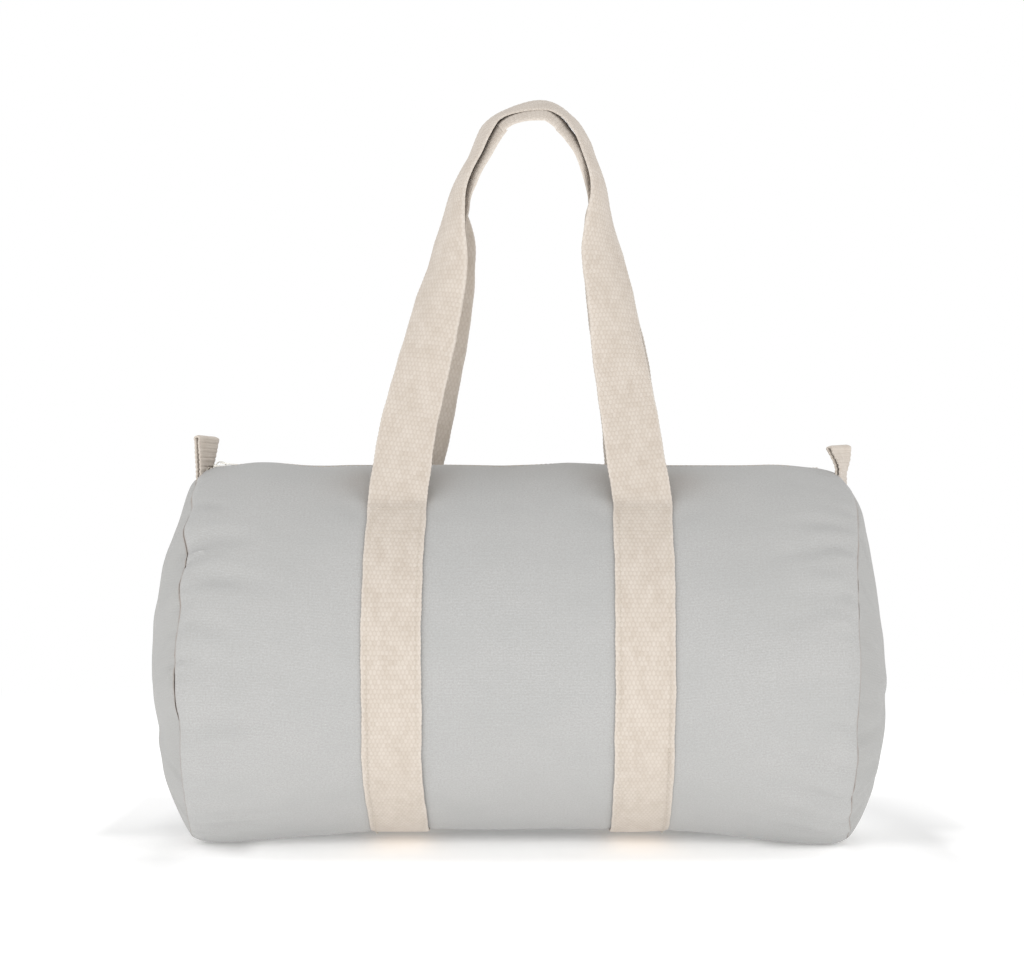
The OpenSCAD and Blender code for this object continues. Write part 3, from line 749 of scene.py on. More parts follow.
def canvas_finish(look):
    """Fine plain-woven cotton: two sets of threads, slubs and soft clouds, with painted shade: a shadow
    line in the end seams, brown shade beside the straps and darker end panels.
    """
    f = Finish("canvas_cotton", 0.92, sheen=0.12)
    cloth = f.cloth()
    u, v, _ = f.parts(cloth)
    pitch = look.thread_pitch
    slub = f.noise(f.stretched(cloth, (60, 1500, 1)), 1.0, 2.0, 0.6)
    slub_up = f.noise(f.stretched(cloth, (1500, 60, 1), (3, 7, 0)), 1.0, 2.0, 0.6)
    column, row = u / pitch, v / (pitch * 1.5)
    parity = (column.floor() + row.floor()) % 2.0
    warp = ((column * TURN).cosine() * -0.5 + 0.5) ** 0.6
    weft = ((row * TURN).cosine() * -0.5 + 0.5) ** 0.6
    over = warp * (parity * 0.55 + 0.45) * (slub_up * 0.9 + 0.55)
    under = weft * (1 - parity * 0.55) * (slub * 0.9 + 0.55)
    weave = over.most(under)
    cloud = f.noise(f.stretched(cloth, (1, 1.5, 1)), 16, 4.0, 0.55)
    fleck = f.noise(f.stretched(cloth, (1, 1, 1), (5, 2, 0)), 560, 2.0, 0.6)
    grain = f.noise(f.stretched(cloth, (1, 1.15, 1), (2, 9, 0)), 820, 3.0, 0.7)
    streak = f.noise(f.stretched(cloth, (12, 420, 1), (1, 4, 0)), 1.0, 3.0, 0.6)
    streak_up = f.noise(f.stretched(cloth, (520, 14, 1), (8, 4, 0)), 1.0, 3.0, 0.6)
    colour = f.mix(cloud.ease(0.3, 0.7), look.canvas_shade, look.canvas_colour)
    colour = f.mix(streak.ease(0.25, 0.8) * 0.16, colour, look.canvas_light)
    colour = f.mix(streak_up.ease(0.45, 0.85) * 0.1, colour, look.canvas_shade)
    colour = f.mix(grain.ease(0.3, 0.7), look.canvas_speck, colour)
    colour = f.mix((1 - weave) * 0.7, colour, look.thread_gap_and_end_shade)
    colour = f.mix(fleck.ease(0.7, 0.8) * 0.4, colour, srgb(200, 200, 197))
    seam, dent_shade, shade = (
        f.add("ShaderNodeAttribute", {"attribute_name": mark}, {}, 2)
        for mark in ("seam", "dent_shade", "shade")
    )
    # Painted shade: the end panels are darker for the lesser light that reaches them
    colour = f.mix(shade * 0.4, colour, look.thread_gap_and_end_shade)
    # Painted shadow: a brown line in the groove of the end seams
    colour = f.mix(seam * 0.7, colour, look.seam_shadow_colour)
    # Painted brown shade in the dimples beside the strap tops and along the straps' edges
    colour = f.mix(dent_shade * 0.4, colour, look.dent_shade_colour)
    f.set(Base_Color=colour, Roughness=0.86 + cloud * 0.1)
    f.relief(weave + streak * 0.1 + grain * 0.5, 0.5, 0.0002)
    return f.material


def webbing_finish(look, fine=False):
    """Coarse cotton webbing: long rounded grains in rows, each row half a grain along."""
    f = Finish("tab_cotton" if fine else "webbing_cotton", 0.9, sheen=0.1)
    cloth = f.cloth()
    across, along, _ = f.parts(cloth)
    drift = f.noise(f.stretched(cloth, (1, 1, 1), (4, 6, 0)), 190, 2.0, 0.6)
    wobble = f.noise(cloth, 700, 2.0, 0.6)
    row = along / (look.tab_rib if fine else look.rib_pitch) + (drift - 0.5) * 0.3
    column = across / look.grain_width + (row.floor() % 2.0) * 0.5 + (wobble - 0.5) * 0.35
    side = ((column % 1.0) - 0.5) * 2.0
    tall = ((row % 1.0) - 0.5) * 2.0
    reach = side * side * (0.25 if fine else 1.5) + tall * tall * 0.8 + (wobble - 0.5) * 0.5
    grain = 1 - reach.ease(0.3, 1.25)
    fibre = f.noise(f.stretched(cloth, (5200, 900, 1)), 1.0, 3.0, 0.65)
    lot = f.noise(f.stretched(cloth, (1, 0.6, 1), (2, 1, 0)), 90, 3.0, 0.6)
    tone = f.add("ShaderNodeTexWhiteNoise", {"noise_dimensions": "2D"},
                 {"Vector": f.add("ShaderNodeCombineXYZ", {}, {"X": column.floor(), "Y": row.floor()})})
    colour = f.mix(lot.ease(0.3, 0.72), look.webbing_shade, look.webbing_colour)
    colour = f.mix(tone * 0.3, colour, look.webbing_light)
    colour = f.mix(fibre.ease(0.3, 0.8) * 0.22, colour, look.webbing_shade)
    colour = f.mix((1 - grain) * (0.16 if fine else 0.21), colour, look.webbing_gap)
    edge = (across.size() - 0.0172).ease(0.0, 0.0012)
    colour = f.mix(edge * 0.3, colour, look.webbing_light)
    f.set(Base_Color=colour, Roughness=0.86 + fibre * 0.1)
    f.relief(grain + fibre * 0.3, 0.4, 0.0003)
    return f.material


def tab_finish(look):
    """The tabs' webbing, with finer ribs."""
    return webbing_finish(look, fine=True)


def tape_finish(look):
    """Thin cotton tape with a herringbone weave."""
    f = Finish("tape_cotton", 0.9, sheen=0.08)
    cloth = f.cloth()
    across, along, _ = f.parts(cloth)
    zig = ((across / 0.0022) % 2.0 - 1.0).size()
    rib = ((along / 0.0009 + zig * 1.6) * TURN).cosine() * 0.5 + 0.5
    cloud = f.noise(cloth, 120, 3.0, 0.6)
    colour = f.mix(cloud, look.tape_shade, look.tape_colour)
    colour = f.mix((1 - rib) * 0.3, colour, look.tape_shade)
    f.set(Base_Color=colour)
    f.relief(rib + cloud * 0.3, 0.5, 0.0002)
    return f.material


def plastic_finish(look):
    """Matte moulded plastic of the zip's coils."""
    f = Finish("zip_plastic", 0.42)
    grain = f.noise(f.here(), 900, 3.0, 0.6)
    worn = f.noise(f.here(), 60, 2.0, 0.5)
    colour = f.mix(worn.ease(0.35, 0.7), look.teeth_colour, srgb(192, 185, 173))
    f.set(Base_Color=colour, Roughness=0.36 + grain * 0.2)
    f.relief(grain, 0.25, 0.0001)
    return f.material


def metal_finish(look):
    """Brushed nickel with fine lines and rubbed places."""
    f = Finish("zip_nickel", 0.32, metallic=1.0)
    lines = f.noise(f.stretched(f.here(), (160, 6200, 5200)), 1.0, 3.0, 0.65)
    rubbed = f.noise(f.here(), 340, 3.0, 0.55)
    colour = f.mix(rubbed.ease(0.3, 0.75), look.metal_colour, srgb(208, 205, 198))
    f.set(Base_Color=colour, Roughness=0.24 + lines * 0.2 + rubbed * 0.1)
    f.relief(lines, 0.3, 0.00006)
    return f.material


def thread_finish(look):
    """Twisted cotton sewing thread."""
    f = Finish("sewing_thread", 0.75, sheen=0.1)
    x, y, z = f.parts(f.here())
    ply = ((x + y + z) * (TURN / 0.0007)).cosine() * 0.5 + 0.5
    fuzz = f.noise(f.here(), 2400, 2.0, 0.6)
    colour = f.mix(ply * 0.7, srgb(180, 171, 158), look.thread_colour)
    f.set(Base_Color=colour)
    f.relief(ply + fuzz * 0.4, 0.4, 0.00015)
    return f.material


# Each kind of finish: what makes it, the settings it reads and the slot of its pieces
FINISHES = {
    "canvas": (canvas_finish, "bag_canvas", "canvas"),
    "webbing": (webbing_finish, "bag_webbing", "webbing"),
    "tab": (tab_finish, "bag_webbing", "webbing"),
    "tape": (tape_finish, "bag_zip", "cotton_tape"),
    "plastic": (plastic_finish, "bag_zip", "zip_teeth"),
    "metal": (metal_finish, "bag_zip", "zip_metal"),
    "thread": (thread_finish, "bag_webbing", "cotton_tape"),
}
made = {}


def finish(kind):
    """The one material of each kind, made when a piece first asks for it."""
    if kind not in made:
        make, settings, _ = FINISHES[kind]
        made[kind] = make(getattr(bpy.context.scene, settings))
    return made[kind]


def dress(piece, kind, *nodes, body="root", bend=None):
    """Gives a piece its finish, hangs it under its body's empty unless it has a bend, and hides the
    frame's nodes it stands for.

    A bend (body, start, end) is not set up here: with one, the piece's place is only baked into its
    points.
    """
    piece.data.materials.clear()
    piece.data.materials.append(finish(kind))
    if bend:
        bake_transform(piece)
    else:
        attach(piece, body)
    if nodes:
        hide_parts(*nodes)
    return piece


# Geometry Nodes trees


class Recipe(Nodes):
    """A Geometry Nodes tree with named inputs, run once on a piece and applied to it."""

    def __init__(self, name, inputs):
        tree = bpy.data.node_groups.new(name, "GeometryNodeTree")
        super().__init__(tree)
        tree.interface.new_socket(name="Geometry", in_out="INPUT", socket_type="NodeSocketGeometry")
        self.names = {}
        for label, kind, value in inputs:
            entry = tree.interface.new_socket(name=label, in_out="INPUT", socket_type=kind)
            if value is not None:
                entry.default_value = value
            self.names[label] = entry.identifier
        tree.interface.new_socket(name="Geometry", in_out="OUTPUT", socket_type="NodeSocketGeometry")
        self.source = tree.nodes.new("NodeGroupInput")
        self.result = tree.nodes.new("NodeGroupOutput")

    def given(self, label):
        """The value of one of the tree's inputs."""
        return Value(self, self.source.outputs[label])

    def end(self, geometry):
        """Ends the tree in real faces with their material."""
        real = self.add("GeometryNodeRealizeInstances", {}, {"Geometry": geometry})
        dressed = self.add(
            "GeometryNodeSetMaterial", {}, {"Geometry": real, "Material": self.given("Material")}
        )
        self.feed(self.result.inputs[0], dressed)

    def run(self, source, name, **values):
        """The tree's result on a curve object, which it uses up, as a plain mesh piece."""
        modifier = source.modifiers.new(self.tree.name, "NODES")
        modifier.node_group = self.tree
        for label, value in values.items():
            modifier[self.names[label]] = value
        mesh = finished_mesh(source)
        mesh.name = name
        mesh.transform(source.matrix_world)
        curve = source.data
        bpy.data.objects.remove(source)
        bpy.data.curves.remove(curve)
        return link(mesh, name)


def route(name, runs):
    """A curve object of straight-sided splines through runs of points in millimetres."""
    curve = bpy.data.curves.new(name, "CURVE")
    curve.dimensions = "3D"
    for points in runs:
        spline = curve.splines.new("POLY")
        spline.points.add(len(points) - 1)
        flat = np.concatenate([np.asarray(points) * MM, np.ones((len(points), 1))], 1)
        spline.points.foreach_set("co", flat.ravel())
    return link(curve, name)


def stitch_recipe():
    """Stitches of thread laid along every spline, each a slim spindle half sunk in the cloth."""
    r = Recipe("stitch_row", (
        ("Pitch", "NodeSocketFloat", 0.004), ("Length", "NodeSocketFloat", 0.003),
        ("Thickness", "NodeSocketFloat", 0.0007), ("Unevenness", "NodeSocketFloat", 0.12),
        ("Seed", "NodeSocketInt", 3), ("Material", "NodeSocketMaterial", None),
    ))
    points = r.add("GeometryNodeCurveToPoints", {"mode": "LENGTH"},
                   {"Curve": r.given("Geometry"), "Length": r.given("Pitch")}).socket.node
    turn = r.add("FunctionNodeAlignRotationToVector", {"axis": "Z"},
                 {"Vector": points.outputs["Tangent"]})
    uneven = r.given("Unevenness")
    vary = r.add("FunctionNodeRandomValue", {"data_type": "FLOAT"},
                 {2: 1.0 - uneven, 3: 1.0 + uneven, "Seed": r.given("Seed")}, 1)
    long = r.given("Length") * vary
    wide = r.given("Thickness")
    size = r.add("ShaderNodeCombineXYZ", {}, {"X": wide, "Y": wide, "Z": long})
    spindle = r.add("GeometryNodeMeshUVSphere", {}, {"Segments": 6, "Rings": 5, "Radius": 0.5})
    smooth_spindle = r.add("GeometryNodeSetShadeSmooth", {}, {"Geometry": spindle})
    laid = r.add("GeometryNodeInstanceOnPoints", {}, {
        "Points": points.outputs["Points"], "Instance": smooth_spindle, "Rotation": turn, "Scale": size,
    })
    r.end(laid)
    return r


def coil_recipe():
    """One row of a coil zip: a wire wound in flat loops along X from the first point."""
    r = Recipe("zip_coil", (
        ("Pitch", "NodeSocketFloat", 0.002), ("Run", "NodeSocketFloat", 0.2),
        ("Loop Width", "NodeSocketFloat", 0.003), ("Loop Height", "NodeSocketFloat", 0.002),
        ("Wire", "NodeSocketFloat", 0.0005), ("Start", "NodeSocketVector", (0, 0, 0)),
        ("Seed", "NodeSocketInt", 0), ("Material", "NodeSocketMaterial", None),
    ))
    turns = r.given("Run") / r.given("Pitch")
    coil = r.add("GeometryNodeCurveSpiral", {}, {
        "Resolution": 12, "Rotations": turns, "Start Radius": 0.5, "End Radius": 0.5,
        "Height": r.given("Run"),
    })
    # The spiral stands on Z; its height becomes X and its circle a flat loop in Y and Z
    laid = r.add("GeometryNodeTransform", {}, {"Geometry": coil, "Rotation": (0, math.pi / 2, 0)})
    flat = r.add("ShaderNodeCombineXYZ", {}, {
        "X": 1.0, "Y": r.given("Loop Width"), "Z": r.given("Loop Height"),
    })
    sized = r.add("GeometryNodeTransform", {}, {
        "Geometry": laid, "Scale": flat, "Translation": r.given("Start"),
    })
    ring = r.add("GeometryNodeCurvePrimitiveCircle", {"mode": "RADIUS"},
                 {"Resolution": 6, "Radius": r.given("Wire")})
    tube = r.add("GeometryNodeCurveToMesh", {}, {
        "Curve": sized, "Profile Curve": ring, "Fill Caps": True,
    })
    r.end(r.add("GeometryNodeSetShadeSmooth", {}, {"Geometry": tube}))
    return r


recipes = {}


def recipe(make):
    """The one tree of each kind, made when a piece first asks for it."""
    if make not in recipes:
        recipes[make] = make()
    return recipes[make]


def stitches(name, runs, pitch, length, seed=3):
    """Rows of stitches along runs of points, all in millimetres."""
    return recipe(stitch_recipe).run(
        route(name + "_route", runs), name, Pitch=pitch * MM, Length=length * MM,
        Thickness=THREAD * MM, Seed=seed, Material=finish("thread"),
    )


# Webbing


def shifted(points, directions, amounts):
    """Rows of points, each row moved along its own direction by its amounts."""
    return points + directions[:, None, :] * amounts[:, :, None]


def ribbon(name, course, look, width, thickness, lift=None, bow=None, rib=None):
    """A length of webbing along a route, with ribbed faces, thin edges and scalloped sides.

    The course is its centre points, across directions, normals and length so far. The lift
    follows the cloth underneath, and the bow is how far the edges drop and the middle rises.
    """
    centre, across, normal, along = course
    cell = 0.75 * look.grain_width / MM
    edge = width / 2
    count = int((edge - 1.2) / cell)
    inner = cell * np.arange(-count, count + 1)
    places = np.concatenate([[-edge, -edge + 0.45], inner, [edge - 0.45, edge]])
    row = np.cos(TURN * along / (rib or look.rib_pitch / MM))[:, None]
    near_edge = smooth((np.abs(places) - edge + 1.5) / 1.5)
    half = thickness / 2 * (1 - 0.52 * near_edge)
    relief = -look.rib_height / MM * row * (1 - near_edge)
    rng = np.random.default_rng(look.seed)
    drift = sum(
        rng.uniform(0.04, 0.12) * np.sin(along * TURN / rng.uniform(18, 90) + rng.uniform(0, TURN))
        for _ in range(6)
    )
    offset = places * np.where(np.abs(places) > edge - 1, 1 - 0.007 * row, 1.0)
    offset = offset + drift[:, None] * np.abs(places) / edge
    middle = shifted(centre[:, None, :], across, offset)
    if lift is not None:
        middle = shifted(middle, normal, lift(places))
    if bow is not None:
        drop, rise = bow
        middle = shifted(middle, normal, rise[:, None] - drop[:, None] * (places / edge) ** 2)
    top = shifted(middle, normal, half + relief)
    under = shifted(middle, normal, 0.6 * relief - half)
    uv = np.stack(np.broadcast_arrays(places[None, :], along[:, None]), -1)
    return wall(name, top, under, uv, sharp=75)


def catmull(p0, p1, p2, p3, t):
    """Points of the smooth curve through p1 and p2, with their neighbours p0 and p3."""
    return 0.5 * (
        2 * p1 + (p2 - p0) * t + (2 * p0 - 5 * p1 + 4 * p2 - p3) * t**2
        + (3 * p1 - p0 - 3 * p2 + p3) * t**3
    )


def course_points(which):
    """The handle's course as (x, share of rise, roll), from its left foot to its right."""
    back = which == "back"
    level = 90 - math.degrees(math.atan((HINGE_Y + CROWN_Y["front"]) / (CROWN_Z - HINGE_Z)))
    half = list(COURSE) + [(1, 0, level - CROWN_TILT)]
    found = []
    for side, part in ((-1, half), (1, half[-2::-1])):
        for share, spread, roll in part:
            inset = float(smooth((share - 0.65) / 0.2)) if back else 0.0
            lean = BACK_LEAN[side] if back else 0.0
            reach = spread * (STRAP_X - side * CROWN_SWAY)
            reach *= 1 - inset * BACK_INSET / (0.46 * STRAP_X)
            leaning = float(smooth(share / 0.12)) * (1 - share) * (1 - inset)
            found.append((
                CROWN_SWAY + side * reach + lean * leaning, share, roll + BACK_ROLL * inset,
            ))
    return np.array(found, float)


def nest_back(centre, across, share, beside):
    """Lays the back handle's route under the front one near the crown, as the photo shows."""
    def by_leg(value):
        """A value for each point, by the leg that it is on."""
        return np.where(beside < 0, value(-1), value(1))

    over, over_across, over_normal, _ = handle_route("front")
    mirror = np.array([1, -1, 1])
    under = by_leg(lambda side: looked_up(UNDER[side], share))[:, None]
    ahead = looked_up(AHEAD, share)[:, None]
    low, high = by_leg(lambda side: JOIN[side][0]), by_leg(lambda side: JOIN[side][1])
    joined = smooth((share - low) / (high - low))[:, None]
    nested = (over - under * over_normal - ahead * over_across) * mirror
    centre = centre + joined * (nested - centre)
    across = unit(across + joined * (-over_across * mirror - across))

    # The legs move sideways until their inner edge, as the camera sees it, is where it should be
    far = (CAMERA_AWAY - centre[:, 1]) / CAMERA_AWAY
    spare = []
    for sign in (-1, 1):
        edge = centre + WEB_HALF * sign * across
        height = (edge[:, 2] - CAMERA_Z) / far + CAMERA_Z
        wanted = by_leg(lambda side: profile(INNER_EDGE[side], height))
        spare.append(beside * (edge[:, 0] - (wanted - CAMERA_X) * far - CAMERA_X))
    spare = np.minimum(*spare)
    above_foot = smooth((share - 0.12) / 0.15)
    pull_in = above_foot * (1 - smooth((share - 0.5) / 0.1))
    push_out = above_foot * (1 - smooth((share - 0.74) / 0.12))
    move = np.maximum(-spare, 0) * push_out - np.maximum(spare, 0) * pull_in
    for _ in range(3):
        move = np.convolve(np.pad(move, 12, mode="edge"), np.ones(25) / 25, mode="valid")
    centre[:, 0] += beside * move
    return centre, across


def handle_route(which):
    """Dense centre points, across directions and normals of one handle, and which way it
    stands, as if it were on the front side."""
    points = course_points(which)
    before, after = 2 * points[0] - points[1], 2 * points[-1] - points[-2]
    held = np.concatenate([[before], points, [after]])
    t = np.linspace(0, 1, 41)[:-1, None]
    dense = np.concatenate([
        catmull(held[k], held[k + 1], held[k + 2], held[k + 3], t) for k in range(len(points) - 1)
    ] + [points[-1:]])
    top_z = CROWN_Z - (CROWN_DROP if which == "back" else 0)
    rise = np.array([0, CROWN_Y[which] + HINGE_Y, top_z - HINGE_Z])
    tall = np.linalg.norm(rise)
    up = rise / tall
    away = np.cross(up, [1, 0, 0])
    foot = np.array([0, -HINGE_Y, HINGE_Z]) + FOOT_OUT * away + FOOT_UP * up
    share = dense[:, 1]
    beside = np.sign(dense[:, 0] - CROWN_SWAY)
    if which == "front":
        for side in (-1, 1):
            leg = beside == side
            dense[:, 0] += side * looked_up(LEG_SHIFT[side], share) * leg
            dense[:, 2] += looked_up(LEG_TURN[side], share) * leg
    centre = foot + dense[:, :1] * np.array([1, 0, 0]) + dense[:, 1:2] * (tall - FOOT_UP) * up
    along = unit(np.gradient(centre, axis=0))
    roll = np.radians(dense[:, 2])[:, None]
    rolled = np.cross(along, away) * np.cos(roll) + away * np.sin(roll)
    # At its feet the webbing lies square to the bag
    squared = 1 - smooth(dense[:, 1:2] / 0.1)
    outwards = np.sign(rolled[:, :1]) * np.array([1, 0, 0])
    across = rolled + squared * (outwards - rolled)
    normal = unit(np.cross(along, across))
    across = np.cross(normal, along)
    if which == "back":
        centre, across = nest_back(centre, across, share, beside)
    return centre, across, normal, up


def strap_x(side, a):
    """Place of a sewn strap along the barrel; the left one bows out a little."""
    bow = 2.1 * smooth((a - 0.7) / 0.6) * (1 - smooth((a - 2.3) / 0.35))
    return side * STRAP_X - (side < 0) * bow


def strap_route(side):
    """Dense centre points of one sewn strap from under the bag up to its handle's foot."""
    a = np.linspace(math.pi - 0.15 / HALF_WIDTH, STRAP_TOP, 420)
    x = strap_x(side, a)
    w, top, bottom = barrel_half_width(x), barrel_top(x), barrel_bottom(x)
    b = (top - bottom) / 2
    ny, nz = -b * np.sin(a), w * np.cos(a)
    size = np.hypot(ny, nz)
    y = -w * np.sin(a) * (1 - BELLY * np.cos(a)) + 1.4 * ny / size
    z = (top + bottom) / 2 + b * np.cos(a) + 1.4 * nz / size
    return np.stack([x, y, z], -1), a


def bridged(p0, d0, p1, d1, count=24):
    """Points of a smooth curve between two points, which leaves and arrives in directions."""
    t = np.linspace(0, 1, count + 2)[1:-1, None]
    size = np.linalg.norm(p1 - p0)
    return (
        (2 * t**3 - 3 * t**2 + 1) * p0 + (t**3 - 2 * t**2 + t) * d0 * size
        + (-2 * t**3 + 3 * t**2) * p1 + (t**3 - t**2) * d1 * size
    )


def webbing_loop(which, look, barrel):
    """One loop: up a strap, over as a handle and down the other strap, as one webbing."""
    handle, handle_across, _, up = handle_route(which)
    base = np.array([0, -HINGE_Y, HINGE_Z])
    clear = (handle - base) @ up > 7.0
    top, top_across = handle[clear], handle_across[clear]
    left, angle = strap_route(-1)
    right, _ = strap_route(1)
    sewn = HALF_WIDTH * (angle - STRAP_TOP) > 3.0
    left, right, angle = left[sewn], right[sewn][::-1], angle[sewn]
    rising = bridged(left[-1], unit(left[-1] - left[-2]), top[0], unit(top[1] - top[0]))
    falling = bridged(top[-1], unit(top[-1] - top[-2]), right[0], unit(right[1] - right[0]))
    centre = np.concatenate([left, rising, top, falling, right])
    x_axis = np.array([1.0, 0, 0])
    across = np.concatenate([
        np.tile(-x_axis, (len(left), 1)),
        np.linspace(-x_axis, top_across[0], len(rising)),
        top_across,
        np.linspace(top_across[-1], x_axis, len(falling)),
        np.tile(x_axis, (len(right), 1)),
    ])
    free = len(rising) + len(top) + len(falling)
    sewn_angle = np.concatenate([angle, np.full(free, STRAP_TOP), angle[::-1]])
    hold = np.concatenate([
        np.ones(len(left)), np.linspace(1, 0, len(rising)), np.zeros(len(top)),
        np.linspace(0, 1, len(falling)), np.ones(len(right)),
    ])
    length = np.concatenate([[0], np.cumsum(np.linalg.norm(np.diff(centre, axis=0), axis=1))])
    along = np.arange(0, length[-1], look.rib_pitch / MM / 4)
    along = along * (length[-1] / along[-1])

    def at(values):
        """The same rows at even steps along the loop."""
        return np.stack([np.interp(along, length, column) for column in values.T], -1)

    centre, across = at(centre), at(across)
    sewn_angle, hold = np.interp(along, length, sewn_angle), np.interp(along, length, hold)
    for _ in range(6):
        centre[1:-1] = 0.25 * centre[:-2] + 0.5 * centre[1:-1] + 0.25 * centre[2:]
    way = unit(np.gradient(centre, axis=0))
    normal = unit(np.cross(way, across))
    across = np.cross(normal, way)
    front = which == "front"
    side = np.sign(centre[:, 0] - CROWN_SWAY)

    def lift(places):
        """How far the cloth underneath lifts the webbing across its width."""
        x = side[:, None] * (STRAP_X + places[None, :])
        a = np.broadcast_to(sewn_angle[:, None], x.shape)
        return sag(x, a if front else TURN - a, barrel) * hold[:, None]

    mirror = np.array([1, 1 if front else -1, 1])
    centre, across, normal, up = centre * mirror, across * mirror, normal * mirror, up * mirror
    rise = ((centre - base * mirror) @ up) / (CROWN_Z - HINGE_Z)
    at_crown = smooth((rise - 0.8) / 0.2)
    drop = smooth((rise - 0.2) / 0.3) * (4.4 + ((1.0 if front else 4.0) - 4.4) * at_crown)
    bow = (drop, drop * (0.9 - 0.65 * at_crown))
    return (centre, across, normal, along), lift, bow, up


# Settings


def length_prop(name, description, default):
    """A setting for a length in metres."""
    return bpy.props.FloatProperty(
        name=name, description=description, default=default, unit="LENGTH")


def colour_prop(name, description, red, green, blue):
    """A setting for a colour, given as it looks on screen from 0 to 255."""
    return bpy.props.FloatVectorProperty(
        name=name, description=description, default=srgb(red, green, blue), subtype="COLOR")


class BagCanvasSettings(bpy.types.PropertyGroup):
    """Sizes and colours of the canvas."""

    thickness: length_prop("Cloth thickness", "Thickness of the canvas", 0.0015)
    fold_depth: bpy.props.FloatProperty(
        name="Fold depth", description="How deep the cloth's folds are, 1 as in the photograph",
        default=1.0, subtype="FACTOR")
    cell: length_prop("Mesh cell", "Size of the cells of the barrel's mesh", 0.0032)
    thread_pitch: length_prop(
        "Thread pitch", "Distance between neighbouring threads of the canvas", 0.00066)
    canvas_colour: colour_prop("Canvas colour", "Colour of the canvas", 174, 174, 174)
    canvas_shade: colour_prop("Canvas shade", "Colour of the darker clouds in the canvas", 167, 168, 168)
    canvas_light: colour_prop("Canvas light", "Colour of the paler threads", 182, 182, 181)
    canvas_speck: colour_prop(
        "Canvas speck", "Colour of the dark specks of its fine grain", 157, 156, 154)
    # Also the colour of the painted shade on the end panels
    thread_gap_and_end_shade: colour_prop("Thread gap", "Colour between the threads", 142, 141, 138)
    # Painted shadow in the grooves of the end seams
    seam_shadow_colour: colour_prop("Seam colour", "Colour of the shaded line in the end seams", 118, 98, 82)
    # Painted shade of the dimples beside the straps
    dent_shade_colour: colour_prop(
        "Dent colour", "Colour of the shaded dents beside the straps", 134, 124, 114)
    seed: bpy.props.IntProperty(
        name="Seed", description="Picks the places of the small puckers", default=11)


class BagWebbingSettings(bpy.types.PropertyGroup):
    """Sizes and colours of the webbing."""

    width: length_prop("Width", "Width of the strap and handle webbing", 0.038)
    thickness: length_prop("Thickness", "Thickness of the strap and handle webbing", 0.0021)
    rib_pitch: length_prop("Rib pitch", "Distance between neighbouring rows of grains", 0.00305)
    grain_width: length_prop("Grain width", "Width of one grain in its row", 0.00254)
    rib_height: length_prop("Rib height", "How far a row of grains stands proud", 0.00007)
    tab_rib: length_prop("Tab rib", "Distance between the tabs' ribs", 0.002)
    tab_width: length_prop("Tab width", "Width of the tabs' webbing", 0.025)
    tab_thickness: length_prop("Tab thickness", "Thickness of the tabs' webbing", 0.0022)
    tab_twist: bpy.props.FloatProperty(
        name="Tab twist", description="How far each tab turns towards the front at its top",
        default=math.radians(31), subtype="ANGLE")
    webbing_colour: colour_prop("Webbing colour", "Colour of the webbing", 185, 176, 166)
    webbing_shade: colour_prop("Webbing shade", "Colour of its darker lots of yarn", 176, 166, 155)
    webbing_light: colour_prop("Webbing light", "Colour of its palest grains", 198, 191, 183)
    webbing_gap: colour_prop("Webbing gap", "Colour between its grains", 146, 129, 113)
    thread_colour: colour_prop("Thread colour", "Colour of the sewing thread", 188, 179, 167)
    seed: bpy.props.IntProperty(name="Seed", description="Picks the drift of its edges", default=5)


class BagZipSettings(bpy.types.PropertyGroup):
    """Sizes and colours of the zip."""

    coil_pitch: length_prop("Coil pitch", "Distance between neighbouring loops of a coil", 0.0021)
    wire: length_prop("Wire radius", "Radius of the coil's wire", 0.00042)
    tape_width: length_prop("Tape width", "Width of one zip tape", 0.012)
    tape_thickness: length_prop("Tape thickness", "Thickness of the zip tape", 0.0007)
    pull_length: length_prop("Pull length", "Length of the pull", 0.0205)
    tape_colour: colour_prop("Tape colour", "Colour of the zip tape and the seam binding", 200, 193, 181)
    tape_shade: colour_prop("Tape shade", "Colour between the tape's threads", 172, 163, 149)
    teeth_colour: colour_prop("Teeth colour", "Colour of the coils", 206, 199, 188)
    metal_colour: colour_prop("Metal colour", "Colour of the slider, pull and stops", 188, 186, 180)


class BagStageSettings(bpy.types.PropertyGroup):
    """Camera, light and floor."""

    distance: length_prop("Camera distance", "Distance from the camera to the bag's middle", 2.0)
    height: length_prop("Camera height", "Height of the level camera", 0.243)
    aside: length_prop("Camera aside", "How far the camera stands to the right", -0.005)
    lens: bpy.props.FloatProperty(
        name="Lens", description="Focal length of the camera", default=104.94, unit="CAMERA")
    sky: bpy.props.FloatProperty(
        name="Room light", description="Strength of the even light from all sides", default=1.12)
    key: bpy.props.FloatProperty(
        name="Front lamp", description="Power of the large soft lamp at the front",
        default=32.0, unit="POWER")
    # The floor's glow: emission that lights the bag from below as a hidden lamp
    floor_glow: bpy.props.FloatProperty(
        name="Floor light", description="Light that the pale floor throws back up", default=0.65)


# Operators


class BAG_OT_stage(bpy.types.Operator):
    """Set up the floor, the soft light and the camera"""

    bl_idname = "bag.stage"
    bl_label = "Stage"

    def execute(self, context):
        look = context.scene.bag_stage
        set_camera(context.scene, look)
        light_room(context.scene, look)
        lay_floor(look)
        return {"FINISHED"}


def set_camera(scene, look):
    """The photo's level camera."""
    scene.view_settings.view_transform = "Standard"
    camera = bpy.data.objects.new("camera", bpy.data.cameras.new("camera"))
    scene.collection.objects.link(camera)
    camera.data.lens = look.lens
    camera.data.sensor_width = 36
    camera.data.clip_end = 60
    camera.location = (look.aside, -look.distance, look.height)
    camera.rotation_euler = (math.pi / 2, 0, 0)
    scene.camera = camera


